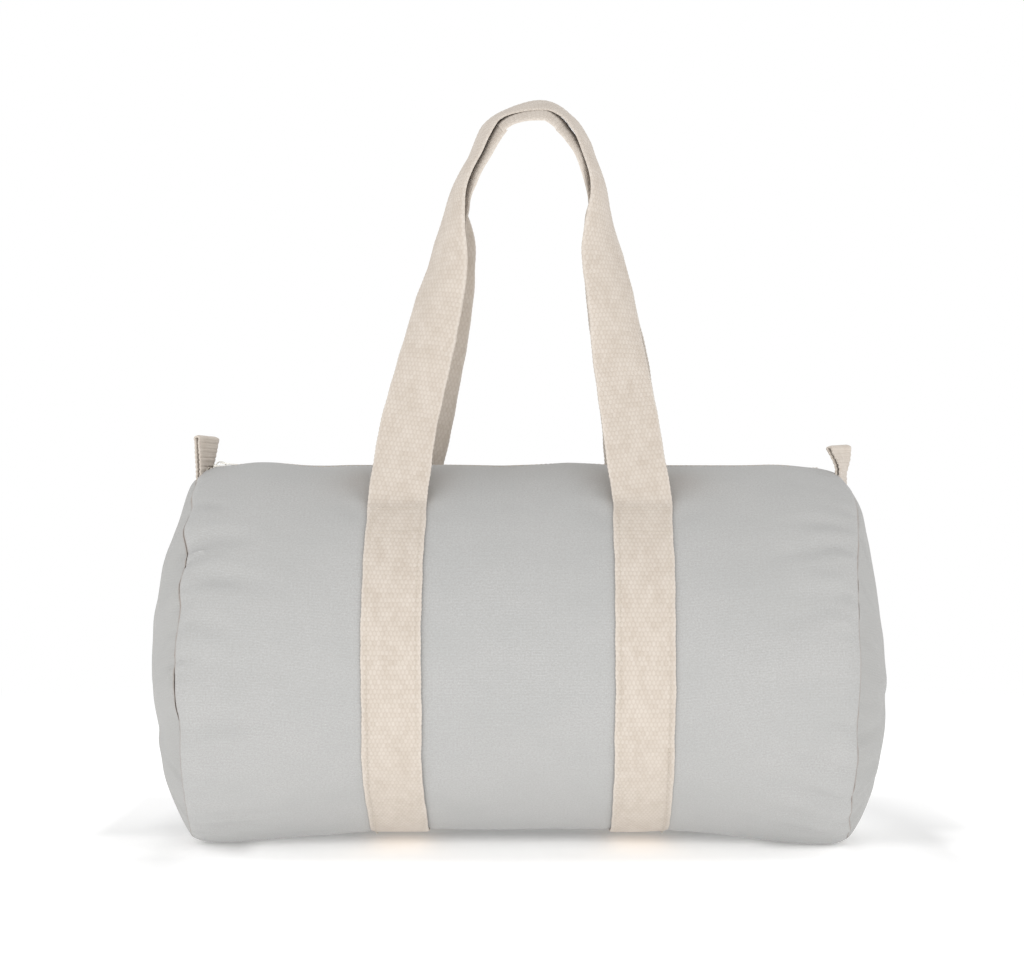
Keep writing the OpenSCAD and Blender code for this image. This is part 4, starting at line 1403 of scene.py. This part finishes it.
def light_room(scene, look):
    """Even light from all sides, which the camera sees as white, and one soft front lamp."""
    world = bpy.data.worlds.new("room")
    scene.world = world
    world.use_nodes = True
    world.node_tree.nodes.clear()
    room = Nodes(world.node_tree)
    seen = room.seen()
    light, white = (
        room.add("ShaderNodeBackground", {}, {"Color": (1, 1, 1, 1), "Strength": strength})
        for strength in (look.sky, 1.0)
    )
    both = room.add("ShaderNodeMixShader", {}, {0: seen, 1: light, 2: white})
    room.add("ShaderNodeOutputWorld", {}, {"Surface": both})

    place, target = np.array((-0.3, -2.7, 0.5)), np.array((0, 0, 0.14))
    lamp = bpy.data.objects.new("front_lamp", bpy.data.lights.new("front_lamp", "AREA"))
    lamp.data.shape = "RECTANGLE"
    lamp.data.size, lamp.data.size_y = 2.9, 1.4
    lamp.data.energy = look.key
    lamp.location = place
    aim = target - place
    down = math.acos(-aim[2] / np.linalg.norm(aim))
    lamp.rotation_euler = (down, 0, math.atan2(aim[0], -aim[1]) + math.pi)
    scene.collection.objects.link(lamp)


def lay_floor(look):
    """A pale floor with painted light that weakens its shadow near the bag and painted shadow patches
    around it, which glows for all but camera rays as a hidden lamp under the bag.
    """
    mesh = bpy.data.meshes.new("floor")
    reach, low = 9.0, -0.0004
    corners = [(-reach, -reach, low), (reach, -reach, low), (reach, reach, low), (-reach, reach, low)]
    mesh.from_pydata(corners, [], [(0, 1, 2, 3)])
    floor = link(mesh, "floor")
    paint = bpy.data.materials.new("pale_floor")
    paint.use_nodes = True
    paint.node_tree.nodes.clear()
    f = Nodes(paint.node_tree)
    x, y, _ = f.parts(f.add("ShaderNodeTexCoord", {}, {}, 3))
    seen = f.seen()
    beside = (x.most(x * -1.2) - 0.2).most(0.0) * 3.6
    gap = (beside * beside + y * y) ** 0.5
    away = (x * x + y * y) ** 0.5
    # Painted light: brighter near the bag to weaken its real shadow there, and a little brighter far out
    painted_floor_light = 0.94 + (1 - gap.ease(0.1, 0.3)) * 0.23 + (1 - gap.ease(0.0, 0.095)) * 0.66
    painted_floor_light = painted_floor_light + gap.ease(0.28, 0.45) * 0.1
    # Painted shadow and painted light patches around the bag
    for across, along, change in FLOOR_PAINTED_LIGHT_AND_SHADE:
        patch = x.ease(*across[:2]) * (1 - x.ease(*across[2:]))
        patch = patch * y.ease(*along[:2]) * (1 - y.ease(*along[2:]))
        painted_floor_light = painted_floor_light * (1 + patch * change)
    grey = f.add("ShaderNodeCombineXYZ", {}, {0: painted_floor_light, 1: painted_floor_light, 2: painted_floor_light})
    tone = f.mix(seen, (0.86, 0.86, 0.86), grey)
    matte = f.add("ShaderNodeBsdfDiffuse", {}, {"Color": tone})
    # For all but camera rays the floor glows, a hidden lamp that lights the bag from below
    glow = f.add("ShaderNodeEmission", {}, {"Strength": (1 - seen) * look.floor_glow})
    near = f.add("ShaderNodeAddShader", {}, {0: matte, 1: glow})
    far = f.add("ShaderNodeEmission", {}, {"Strength": 1.0})
    both = f.add("ShaderNodeMixShader", {}, {0: away.ease(0.7, 1.5) * seen, 1: near, 2: far})
    f.add("ShaderNodeOutputMaterial", {}, {"Surface": both})
    floor.data.materials.append(paint)


# Distances of the mesh's first lines from an end seam
SEAM_STEPS = (0, 0.5, 1.1, 1.8, 2.7, 3.8, 5.2, 7.0)


def barrel_stations(look):
    """Places of the mesh's rings along the barrel, closer together at its end seams."""
    cell = look.cell / MM
    end = [*SEAM_STEPS, 9.0, 11.2, 13.6, 16.2, 19.0]
    left = [-HALF + d for d in end]
    right = [HALF - d for d in reversed(end)]
    middle = steps((left[-1], MOUTH_X0, cell), (MOUTH_X0, 0, cell), (0, MOUTH_X1, cell),
                   (MOUTH_X1, right[0], cell))
    return np.concatenate([left[:-1], middle, right[1:]])


def around_stations(look):
    """Angles of the mesh's lines down the front half, closer together at the zip."""
    cell = look.cell / MM / HALF_WIDTH
    edge = [ZIP_ANGLE + d / HALF_WIDTH for d in (0, 0.2, 0.5, 0.9, 1.4, 2.1, 3.0, 4.4)]
    rest = steps((edge[-1], FOLD_ANGLE, cell), (FOLD_ANGLE, math.pi, cell))
    return np.concatenate([edge[:-1], rest])


# How far from the folded edge beside the zip its row of stitches runs
HEM_STITCH = 4.2


def hem(a):
    """How far the outer face of the cloth rounds down at the folded edge beside the zip."""
    gap = (np.minimum(a, TURN - a) - ZIP_ANGLE) * HALF_WIDTH
    t = clamp01(gap / 1.4)
    edge = 1 - np.sqrt(1 - (1 - t) ** 2)
    return edge + 0.35 * hump(gap - HEM_STITCH, 0.8)


def canvas_wall(name, x, a, look, keep=None):
    """A piece of the barrel's cloth over stations along it and angles around it."""
    grid_x, grid_a = np.meshgrid(x, a, indexing="ij")
    thick = look.thickness / MM
    outer = barrel_points(grid_x, grid_a, -hem(grid_a), look)
    inner = barrel_points(grid_x, grid_a, -thick, look, least=thick)
    uv = np.stack([grid_x, grid_a * HALF_WIDTH], -1)
    # Marks of painted shade: a shadow line in the seams' groove, brown shade by the straps, and no
    # darkening of the ends on the barrel
    seam = hump((HALF - np.abs(grid_x)) * 1.5, 0.8)
    marks = {"seam": seam, "dent_shade": dents(grid_x, grid_a), "shade": np.zeros_like(seam)}
    return wall(name, outer, inner, uv, keep=keep, marks=marks)


def dents(x, a):
    """Where brown shade is painted on the cloth: in the dimples beside the tops of the straps, and as
    thin painted contact shadows along the straps' edges lower down.
    """
    found = np.zeros(np.broadcast(x, a).shape)
    from_top = np.minimum(a, TURN - a)
    # Both edges of both straps
    for place in (-98.6, -59.4, 59.4, 98.6):
        for angle in (0.61, TURN - 0.61):
            found += 0.9 * hump(x - place, 3.2) * hump((a - angle) * HALF_WIDTH, 11)
        outer = 1 if abs(place) > STRAP_X else 0
        # Broad painted shade in the dimples where the handles pull the cloth
        cloud = hump(x - place, 18 + 6 * outer) * hump((from_top - 0.42) * HALF_WIDTH, 24)
        found += 2 * (0.36 + 0.1 * outer) * cloud
    # Thin painted contact shadows along the straps' edges below their tops
    for place in (-98.3, -59.7, 59.7, 98.3):
        found += 0.3 * hump(x - place, 0.9) * smooth((from_top - 0.6) / 0.1)
    return clamp01(found)


class BAG_OT_canvas(bpy.types.Operator):
    """Build the rolled canvas of the barrel with its sag, folds and puckered ends"""

    bl_idname = "bag.canvas"
    bl_label = "Barrel canvas"

    def execute(self, context):
        look = context.scene.bag_canvas
        x = barrel_stations(look)
        half = around_stations(look)
        a = np.concatenate([half, (TURN - half[:-1])[::-1]])
        mid_x = (x[:-1] + x[1:]) / 2
        mid_a = (a[:-1] + a[1:]) / 2
        mouth_x = (mid_x > MOUTH_X0) & (mid_x < MOUTH_X1)
        mouth_a = (mid_a < FOLD_ANGLE) | (mid_a > TURN - FOLD_ANGLE)
        keep = ~(mouth_x[:, None] & mouth_a[None, :])
        barrel = canvas_wall("canvas_barrel", x, a, look, keep)
        dress(barrel, "canvas", "body_panel")
        return {"FINISHED"}


class BAG_OT_mouth(bpy.types.Operator):
    """Build the canvas strips beside the zip and their rows of stitches"""

    bl_idname = "bag.mouth"
    bl_label = "Mouth strips"

    def execute(self, context):
        look = context.scene.bag_canvas
        x = barrel_stations(look)
        half = around_stations(look)
        strip = half[half <= FOLD_ANGLE + 1e-9]
        angle = ZIP_ANGLE + HEM_STITCH / HALF_WIDTH
        for side in ("front", "back"):
            a = strip if side == "front" else (TURN - strip)[::-1]
            for end, low, high in (("left", MOUTH_X0, 0.0), ("right", 0.0, MOUTH_X1)):
                here = x[(x >= low - 1e-6) & (x <= high + 1e-6)]
                piece = canvas_wall(f"canvas_mouth_{side}_{end}", here, a, look)
                dress(piece, "canvas", f"{side}_mouth_panel", bend=mouth_bend(side, end))
                line_x = np.arange(low + 1.6, high, 2.0)
                line_a = np.full_like(line_x, angle if side == "front" else TURN - angle)
                runs = [barrel_points(line_x, line_a, -0.12, look)]
                seam = stitches(f"stitches_mouth_{side}_{end}", runs, 3.2, 2.5, seed=4)
                dress(seam, "thread", bend=mouth_bend(side, end))
        return {"FINISHED"}


def mouth_bend(side, end):
    """The bend given to a piece beside the zip: its body, and where that bend would start and end."""
    y = -FOLD_Y if side == "front" else FOLD_Y
    start, full = BEND_RUNS[end]
    return (
        f"{side}_mouth", (start * MM, y * MM, FOLD_Z * MM), (full * MM, y * MM, FOLD_Z * MM),
    )


class BAG_OT_ends(bpy.types.Operator):
    """Build the two puckered end panels and the binding inside their seams"""

    bl_idname = "bag.ends"
    bl_label = "End panels"

    def execute(self, context):
        look = context.scene.bag_canvas
        inward = np.concatenate([SEAM_STEPS, np.arange(9.2, 60, 2.4), np.arange(60, 123, 3.2)])
        a = np.linspace(0, TURN, 261)[:-1]
        grid_r, grid_a = np.meshgrid(1 - inward / HALF_WIDTH, a, indexing="ij")
        for name, side in (("left", -1), ("right", 1)):
            outer = end_points(side, grid_r, grid_a, look)
            inner = end_points(side, grid_r, grid_a, look, depth=look.thickness / MM)
            # The inner face stays inside the seam's own plane
            inner[..., 0] = side * np.maximum(side * inner[..., 0], side * outer[:1, :, 0])
            uv = outer[..., 1:].copy()
            # A painted shadow line at the seam and painted shade over the whole panel
            seam = hump((1 - grid_r) * HALF_WIDTH, 0.42)
            marks = {"seam": seam, "dent_shade": np.zeros_like(seam), "shade": np.ones_like(seam)}
            panel = wall(f"canvas_{name}_end", outer, inner, uv, closed=True, pole=True, marks=marks)
            dress(panel, "canvas", f"{name}_end_panel")
            dress(seam_binding(name, side, look), "tape", f"{name}_seam_binding")
        return {"FINISHED"}


def seam_binding(name, side, look):
    """The tape folded over the raw edge inside an end seam, as a flat ring."""
    around = np.linspace(0, TURN, 181)[:-1]
    turn = np.linspace(0, TURN, 17)[:-1]
    ring_a, ring_t = np.meshgrid(around, turn, indexing="ij")
    depth = -9.6 + 4.6 * np.cos(ring_t)
    over = 1.25 * rounded_sine(ring_t, 0.5)
    over = over + 0.25 * np.sin(ring_a * 23) * smooth((-depth - 6) / 6)
    ring_x = np.full_like(ring_a, side * (HALF - 3.4))
    rings = barrel_points(ring_x, ring_a, depth, look, least=1.6)
    rings[..., 0] += over
    uv = np.stack([depth, ring_a * HALF_WIDTH], -1)
    return tube(f"{name}_seam_binding_tape", rings, uv)


def rounded_sine(angle, power):
    """A sine with flatter tops, for cross sections between a circle and a box."""
    height = np.sin(angle)
    return np.sign(height) * np.abs(height) ** power


def tube(name, rings, uv):
    """A closed ring of cloth: both ways of the grid meet themselves."""
    rows, cols = rings.shape[:2]
    index = np.arange(rows * cols).reshape(rows, cols)
    a, b = index, np.roll(index, -1, 1)
    c, d = np.roll(b, -1, 0), np.roll(a, -1, 0)
    faces = np.stack([a, b, c, d], -1).reshape(-1, 4)
    points = rings.reshape(-1, 3)
    middle = rings.mean(1, keepdims=True)
    cross = np.cross(points[c] - points[a], points[d] - points[b])
    if (cross * (rings - middle)).sum() < 0:
        faces = faces[:, ::-1]
    mesh = bpy.data.meshes.new(name)
    mesh.from_pydata((points * MM).tolist(), [], faces.tolist())
    cloth_map(mesh, uv.reshape(-1, 2))
    soften(mesh, 60)
    return link(mesh, name)


class BAG_OT_webbing(bpy.types.Operator):
    """Build the two webbing loops, sewn to the barrel as straps and free as handles"""

    bl_idname = "bag.webbing"
    bl_label = "Straps and handles"

    def execute(self, context):
        look = context.scene.bag_webbing
        cloth = context.scene.bag_canvas
        for which, sign in (("front", 1), ("back", -1)):
            course, lift, bow, up = webbing_loop(which, look, cloth)
            loop = ribbon(f"{which}_webbing", course, look, look.width / MM,
                          look.thickness / MM, lift, bow)
            hinge = np.array([0, -sign * HINGE_Y, HINGE_Z])
            start, end = (hinge - 6 * up) * MM, (hinge + 24 * up) * MM
            dress(loop, "webbing", f"{which}_strap_left", f"{which}_strap_right",
                  f"{which}_handle", bend=(f"{which}_handle", start, end))
            runs = strap_seams(sign, cloth)
            dress(stitches(f"stitches_{which}_straps", runs, 3.4, 2.6), "thread")
        return {"FINISHED"}


def strap_seams(sign, cloth):
    """Where thread runs on two sewn straps: down both edges and twice across the top."""
    runs = []
    inset, proud = 15.6, 2.5
    angles = np.linspace(STRAP_TOP + 9 / HALF_WIDTH, math.pi - 4 / HALF_WIDTH, 140)
    for side in (-1, 1):
        for gap in (-inset, inset):
            turned = angles if sign > 0 else TURN - angles
            runs.append(barrel_points(strap_x(side, angles) + gap, turned, proud, cloth))
        for level in (9, 30):
            angle = STRAP_TOP + level / HALF_WIDTH
            angle = angle if sign > 0 else TURN - angle
            line = np.linspace(side * STRAP_X - inset, side * STRAP_X + inset, 12)
            runs.append(barrel_points(line, np.full_like(line, angle), proud, cloth))
    return runs


class BAG_OT_tabs(bpy.types.Operator):
    """Build the folded webbing tab over each end of the zip"""

    bl_idname = "bag.tabs"
    bl_label = "Tabs"

    def execute(self, context):
        look = context.scene.bag_webbing
        for name, side, *shape in TABS:
            course = tab_course(side, look, *shape)
            tab = ribbon(f"{name}_tab_webbing", course, look, look.tab_width / MM,
                         look.tab_thickness / MM, rib=look.tab_rib / MM)
            start, end = (
                (side * TAB_HINGE_X * MM, 0, (TAB_HINGE_Z + above) * MM) for above in (0.5, 6)
            )
            dress(tab, "tab", f"{name}_tab", bend=(f"{name}_tab", start, end))
        return {"FINISHED"}


# Each tab: its name and side, its height over the barrel, its twist and the share of that
# twist at its foot, how far it leans along the bag, and where its foot stands
TABS = (
    ("left", -1, 21.0, 0.84, 0.52, 1.3, -210.9),
    ("right", 1, 14.8, 1.226, 0.43, -1.4, 215.3),
)


def tab_course(side, look, height, twist, foot_twist, lean, foot_x):
    """The route of one tab's webbing: up, over its fold and down again."""
    thick = look.tab_thickness / MM
    radius = (0.3 + thick) / 2
    top_z = float(barrel_top(210.2)) + height
    bend_z = top_z - radius - thick / 2
    foot_in, foot_out = (
        float(barrel_top(abs(foot_x) + step)) - 8.0 for step in (-radius, radius)
    )
    inner_leg = [(-side * radius, z) for z in np.linspace(foot_in, bend_z, 26)]
    curve = [
        (-side * radius * math.cos(t) * (1 + 0.25 * math.sin(t)), bend_z + radius * math.sin(t))
        for t in np.linspace(0, math.pi, 22)[1:-1]
    ]
    outer_leg = [(side * radius, z) for z in np.linspace(bend_z, foot_out, 26)]
    line = np.array(inner_leg + curve + outer_leg)
    length = np.concatenate([[0], np.cumsum(np.hypot(*np.diff(line, axis=0).T))])
    along = np.linspace(0, length[-1], int(length[-1] / 0.45))
    dx, z = np.interp(along, length, line[:, 0]), np.interp(along, length, line[:, 1])
    share = smooth((z - TAB_FLOOR) / (top_z - TAB_FLOOR))
    belly = 0.9 * np.sin(clamp01((z - TAB_FLOOR) / (bend_z - TAB_FLOOR)) * math.pi)
    dx = dx * (1 + 0.4 * hump(bend_z - z, 1.8)) + 0.1 * belly * np.sign(dx)
    angle = -look.tab_twist * twist * (foot_twist + (1 - foot_twist) * share)
    middle = foot_x + lean * share + 0.2 * np.sin(TURN * z / 3.1) * (1 - share**4)
    middle = middle + (1.1 * belly if side > 0 else 0)
    centre = np.stack([middle + dx * np.cos(angle), dx * np.sin(angle), z], -1)
    across = -side * unit(np.stack([-np.sin(angle), np.cos(angle), 0.04 * side * share], -1))
    normal = unit(np.cross(unit(np.gradient(centre, axis=0)), across))
    # The normal at the foot of the inner leg points inwards, away from the tab's own end
    if side * normal[0, 0] > 0:
        across, normal = -across, -normal
    return centre, across, normal, along


class BAG_OT_zip(bpy.types.Operator):
    """Build the zip's tapes, coils and stops"""

    bl_idname = "bag.zip"
    bl_label = "Zip chain"

    def execute(self, context):
        look = context.scene.bag_zip
        cloth = context.scene.bag_canvas
        width, thick = look.tape_width / MM, look.tape_thickness / MM
        y = np.concatenate([[TEETH_Y + TEETH_W + 0.2], np.linspace(4.4, 3.4 + width, 9)])
        a = np.arcsin(y / (HALF_WIDTH * (1 - BELLY)))
        for side in ("front", "back"):
            turned = a if side == "front" else (TURN - a)[::-1]
            for end, low, high in (("left", -TAPE_END, 0.0), ("right", 0.0, TAPE_END)):
                bend = mouth_bend(side, end)
                name = f"zip_tape_{side}_{end}"
                tape = tape_piece(name, steps((low, high, 3.2)), turned, 1.85, thick, cloth)
                dress(tape, "tape", f"zip_tape_{side}", f"zip_end_{end}", bend=bend)
                dress(coil(side, end, look), "plastic", f"zip_teeth_{side}", bend=bend)
        a = np.arcsin(np.linspace(-5.0, 5.0, 9) / (HALF_WIDTH * (1 - BELLY)))
        for end, side, start in (("left", -1, 207.0), ("right", 1, 197.0)):
            x = side * steps((start, TAPE_END, 1.9))
            patch = tape_piece(f"zip_end_patch_{end}", x, a, 1.2, thick, cloth)
            dress(patch, "tape", f"zip_end_{end}")
        for name, node, x, y, half in (
            ("top_stop_front", "zip_top_stops", TOP_STOP_X, -2.1, 1.9),
            ("top_stop_back", "zip_top_stops", TOP_STOP_X, 2.1, 1.9),
            ("bottom_stop", "zip_bottom_stop", frame_middle("zip_bottom_stop"), 0.0, 3.9),
        ):
            clip = rounded_block(f"zip_{name}", (x, y, ZIP_Z - 0.7), (1.0, half, 1.0), 0.4)
            dress(clip, "metal", node)
        return {"FINISHED"}


# Where the tapes end at both seams, where the coils start and end, and the top stops' place
TAPE_END = 218.4
COIL_RUNS = {"left": (-209.0, 0.0), "right": (0.0, 199.0)}
TOP_STOP_X = -209.6


def tape_piece(name, x, a, depth, thick, cloth):
    """A piece of zip tape that lies a little under the barrel's surface."""
    grid_x, grid_a = np.meshgrid(x, a, indexing="ij")
    outer = barrel_points(grid_x, grid_a, -depth, cloth)
    inner = barrel_points(grid_x, grid_a, -depth - thick, cloth)
    return wall(name, outer, inner, np.stack([grid_a * HALF_WIDTH, grid_x], -1))


def coil(side, end, look):
    """Half of one row of the zip's coil; the two rows lie half a loop apart."""
    start, stop = COIL_RUNS[end]
    sign, phase = (-1, 0.0) if side == "front" else (1, look.coil_pitch / MM / 2)
    name = f"coil_{side}_{end}"
    return recipe(coil_recipe).run(
        route(name + "_route", [[(0, 0, 0), (1, 0, 0)]]), "zip_" + name,
        **{"Loop Width": 3.7 * MM, "Loop Height": 1.7 * MM},
        Pitch=look.coil_pitch, Run=(stop - start) * MM, Wire=look.wire,
        Start=((start + phase) * MM, sign * 1.72 * MM, ZIP_Z * MM), Material=finish("plastic"),
    )


def frame_middle(node):
    """The middle of a frame node along the bag, in millimetres."""
    low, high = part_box(node)
    return (low[0] + high[0]) / 2 / MM


def rounded_block(name, middle, half, radius, segments=3):
    """A block with rounded edges, centred on a point, in millimetres."""
    x, y, z = half
    corners = [(i * x, j * y, k * z) for i in (-1, 1) for j in (-1, 1) for k in (-1, 1)]
    faces = [(0, 1, 3, 2), (4, 6, 7, 5), (0, 4, 5, 1), (2, 3, 7, 6), (0, 2, 6, 4), (1, 5, 7, 3)]
    mesh = bpy.data.meshes.new(name)
    mesh.from_pydata([tuple((np.array(c) + middle) * MM) for c in corners], [], faces)
    piece = link(mesh, name)
    rounded(piece, radius, segments)
    return piece


def rounded(piece, radius, segments=3):
    """Rounds a piece's edges for good."""
    modifier = piece.modifiers.new("round", "BEVEL")
    modifier.width = radius * MM
    modifier.segments = segments
    modifier.limit_method = "ANGLE"
    modifier.angle_limit = math.radians(40)
    mesh = finished_mesh(piece)
    piece.modifiers.remove(modifier)
    old = piece.data
    piece.data = mesh
    bpy.data.meshes.remove(old)
    soften(mesh, 35)


def plate(name, outline, holes, low, high, radius=0.22):
    """A flat plate cut to an outline in X and Y, with round edges, between two heights."""
    curve = bpy.data.curves.new(name, "CURVE")
    curve.dimensions = "2D"
    curve.fill_mode = "BOTH"
    for loop in (outline, *holes):
        spline = curve.splines.new("POLY")
        spline.use_cyclic_u = True
        spline.points.add(len(loop) - 1)
        for point, (x, y) in zip(spline.points, loop):
            point.co = (x * MM, y * MM, 0, 1)
    curve.extrude = (high - low) / 2 * MM - radius * MM
    curve.bevel_depth = radius * MM
    curve.bevel_resolution = 3
    curve.offset = -radius * MM
    source = link(curve, name + "_outline")
    mesh = finished_mesh(source)
    mesh.name = name
    bpy.data.objects.remove(source)
    bpy.data.curves.remove(curve)
    points = np.empty(len(mesh.vertices) * 3)
    mesh.vertices.foreach_get("co", points)
    points[2::3] += (low + high) / 2 * MM
    mesh.vertices.foreach_set("co", points)
    merge(mesh)
    soften(mesh, 35)
    return link(mesh, name)


def merge(mesh):
    """Welds doubled points and turns the faces outwards."""
    held = bmesh.new()
    held.from_mesh(mesh)
    bmesh.ops.remove_doubles(held, verts=held.verts, dist=1e-6)
    bmesh.ops.recalc_face_normals(held, faces=held.faces)
    held.to_mesh(mesh)
    held.free()


def arc(x, y, radius, start, end, count):
    """Points on an arc, with its angles in degrees."""
    angles = np.radians(np.linspace(start, end, count))
    return [(x + radius * math.cos(t), y + radius * math.sin(t)) for t in angles]


class BAG_OT_slider(bpy.types.Operator):
    """Build the zip's slider, its bridge and its pull"""

    bl_idname = "bag.slider"
    bl_label = "Slider and pull"

    def execute(self, context):
        look = context.scene.bag_zip
        sides = np.linspace(0, TURN, 17)[:-1]
        dress(slider_body(SLIDER_X, sides), "metal", "zip_slider", body="slider")
        pull = slider_pull(SLIDER_X, look.pull_length / MM, sides)
        dress(pull, "metal", "zip_pull", body="pull")
        return {"FINISHED"}


def slider_body(x, sides):
    """The slider's two plates, the post between them, its side lips and its bridge."""
    outline = (
        arc(x - 3.6, 2.8, 1.9, 90, 180, 6) + arc(x - 3.6, -2.8, 1.9, 180, 270, 6)
        + [(x + 0.5, -4.7), (x + 3.4, -4.2)] + arc(x + 4.2, -2.9, 1.3, 270, 360, 6)
        + arc(x + 4.2, 2.9, 1.3, 0, 90, 6) + [(x + 3.4, 4.2), (x + 0.5, 4.7)]
    )
    plate_z = SLIDER_TOP - 0.95
    top = plate("zip_slider_top", outline, [], plate_z, SLIDER_TOP, 0.3)
    under = plate("zip_slider_under", outline, [], 246.8, 247.7, 0.3)
    post = rounded_block("zip_slider_post", (x - 4.1, 0, 249.6), (1.3, 0.5, 2.2), 0.2)
    lips = [
        rounded_block(f"zip_slider_lip_{k}", (x + 0.2, sign * 4.35, z), (4.6, 0.34, 0.55), 0.2)
        for k, (sign, z) in enumerate(((-1, 250.9), (1, 250.9), (-1, 247.6), (1, 247.6)))
    ]
    wide, tall = 1.15 * rounded_sine(sides + TURN / 4, 0.6), 0.36 * rounded_sine(sides, 0.6)
    rings = [
        np.stack([x + (3.1 + tall) * math.cos(t) * 1.12, wide,
                  plate_z + (3.1 + tall) * math.sin(t) * 1.1], -1)
        for t in np.radians(np.linspace(-18, 198, 41))
    ]
    bridge = pipe("zip_slider_bridge", np.array(rings))
    return join("zip_slider_body", [top, under, post, bridge, *lips])


def slider_pull(x, long, sides):
    """The pull: a tongue with a slot that hangs on its bar in the bridge, and a round hole."""
    half, slot = 3.1, 1.75
    tip = x + long - half
    outline = (
        [(x, -half), (x + 9.0, -half + 0.55), (tip - 2.2, -half + 0.25)]
        + arc(tip, 0, half, -78, 78, 20)
        + [(tip - 2.2, half - 0.25), (x + 9.0, half - 0.55), (x, half)]
        + [(x, slot), (x + 5.4, slot)]
        + arc(x + 5.4, 0, slot, 80, -80, 9)
        + [(x + 5.4, -slot), (x, -slot)]
    )
    hole = arc(tip - 0.5, 0, 1.3, 360, 15, 24)
    tongue = plate("zip_pull_tongue", outline, [hole], PULL_Z - 0.42, PULL_Z + 0.42, 0.2)
    # It slopes down from its bar to lie on the chain
    for point in tongue.data.vertices:
        point.co.z -= 0.1 * (point.co.x - x * MM)
    rings = []
    for y in np.concatenate([[-3.1, -3.0], np.linspace(-2.8, 2.8, 9), [3.0, 3.1]]):
        size = 0.45 if abs(y) < 3.05 else 0.35
        rings.append([(x + size * math.cos(s), y, PULL_Z + size * math.sin(s)) for s in sides])
    bar = pipe("zip_pull_bar", np.array(rings))
    return join("zip_pull_tab", [tongue, bar])


def pipe(name, rings):
    """A round bar through rings of points, closed at both ends."""
    rows, cols = rings.shape[:2]
    index = np.arange(rows * cols).reshape(rows, cols)
    a, b = index[:-1], np.roll(index[:-1], -1, 1)
    d, c = index[1:], np.roll(index[1:], -1, 1)
    faces = np.stack([a, b, c, d], -1).reshape(-1, 4).tolist()
    faces += [index[0].tolist()[::-1], index[-1].tolist()]
    mesh = bpy.data.meshes.new(name)
    mesh.from_pydata((rings.reshape(-1, 3) * MM).tolist(), [], faces)
    merge(mesh)
    soften(mesh, 45)
    return link(mesh, name)


def join(name, parts):
    """One piece of several, whose faces stay as they are."""
    held = bmesh.new()
    for part in parts:
        held.from_mesh(part.data)
    mesh = bpy.data.meshes.new(name)
    held.to_mesh(mesh)
    held.free()
    for part in parts:
        bpy.data.objects.remove(part)
    soften(mesh, 38)
    return link(mesh, name)


class BAG_PT_panel(bpy.types.Panel):
    """Lists the bag's builders and their settings"""

    bl_idname = "BAG_PT_panel"
    bl_label = "Barrel Bag"
    bl_space_type = "VIEW_3D"
    bl_region_type = "UI"
    bl_category = "Barrel Bag"

    def draw(self, context):
        for operator in OPERATORS:
            self.layout.operator(operator.bl_idname, text=operator.bl_label)
        for settings in SETTINGS:
            box = self.layout.box()
            group = getattr(context.scene, settings)
            for key in group.bl_rna.properties.keys():
                if key not in ("rna_type", "name"):
                    box.prop(group, key)


OPERATORS = (
    BAG_OT_stage, BAG_OT_canvas, BAG_OT_mouth, BAG_OT_ends, BAG_OT_webbing, BAG_OT_tabs,
    BAG_OT_zip, BAG_OT_slider,
)
SETTINGS = {
    "bag_canvas": BagCanvasSettings, "bag_webbing": BagWebbingSettings,
    "bag_zip": BagZipSettings, "bag_stage": BagStageSettings,
}


def register():
    for cls in (*SETTINGS.values(), *OPERATORS, BAG_PT_panel):
        bpy.utils.register_class(cls)
    for name, cls in SETTINGS.items():
        setattr(bpy.types.Scene, name, bpy.props.PointerProperty(type=cls))


def unregister():
    for name in SETTINGS:
        delattr(bpy.types.Scene, name)
    for cls in reversed((*SETTINGS.values(), *OPERATORS, BAG_PT_panel)):
        bpy.utils.unregister_class(cls)


def main():
    register()
    bpy.ops.bag.stage()
    bpy.ops.bag.canvas()
    bpy.ops.bag.mouth()
    bpy.ops.bag.ends()
    bpy.ops.bag.webbing()
    bpy.ops.bag.tabs()
    bpy.ops.bag.zip()
    bpy.ops.bag.slider()


if __name__ == "__main__":
    main()
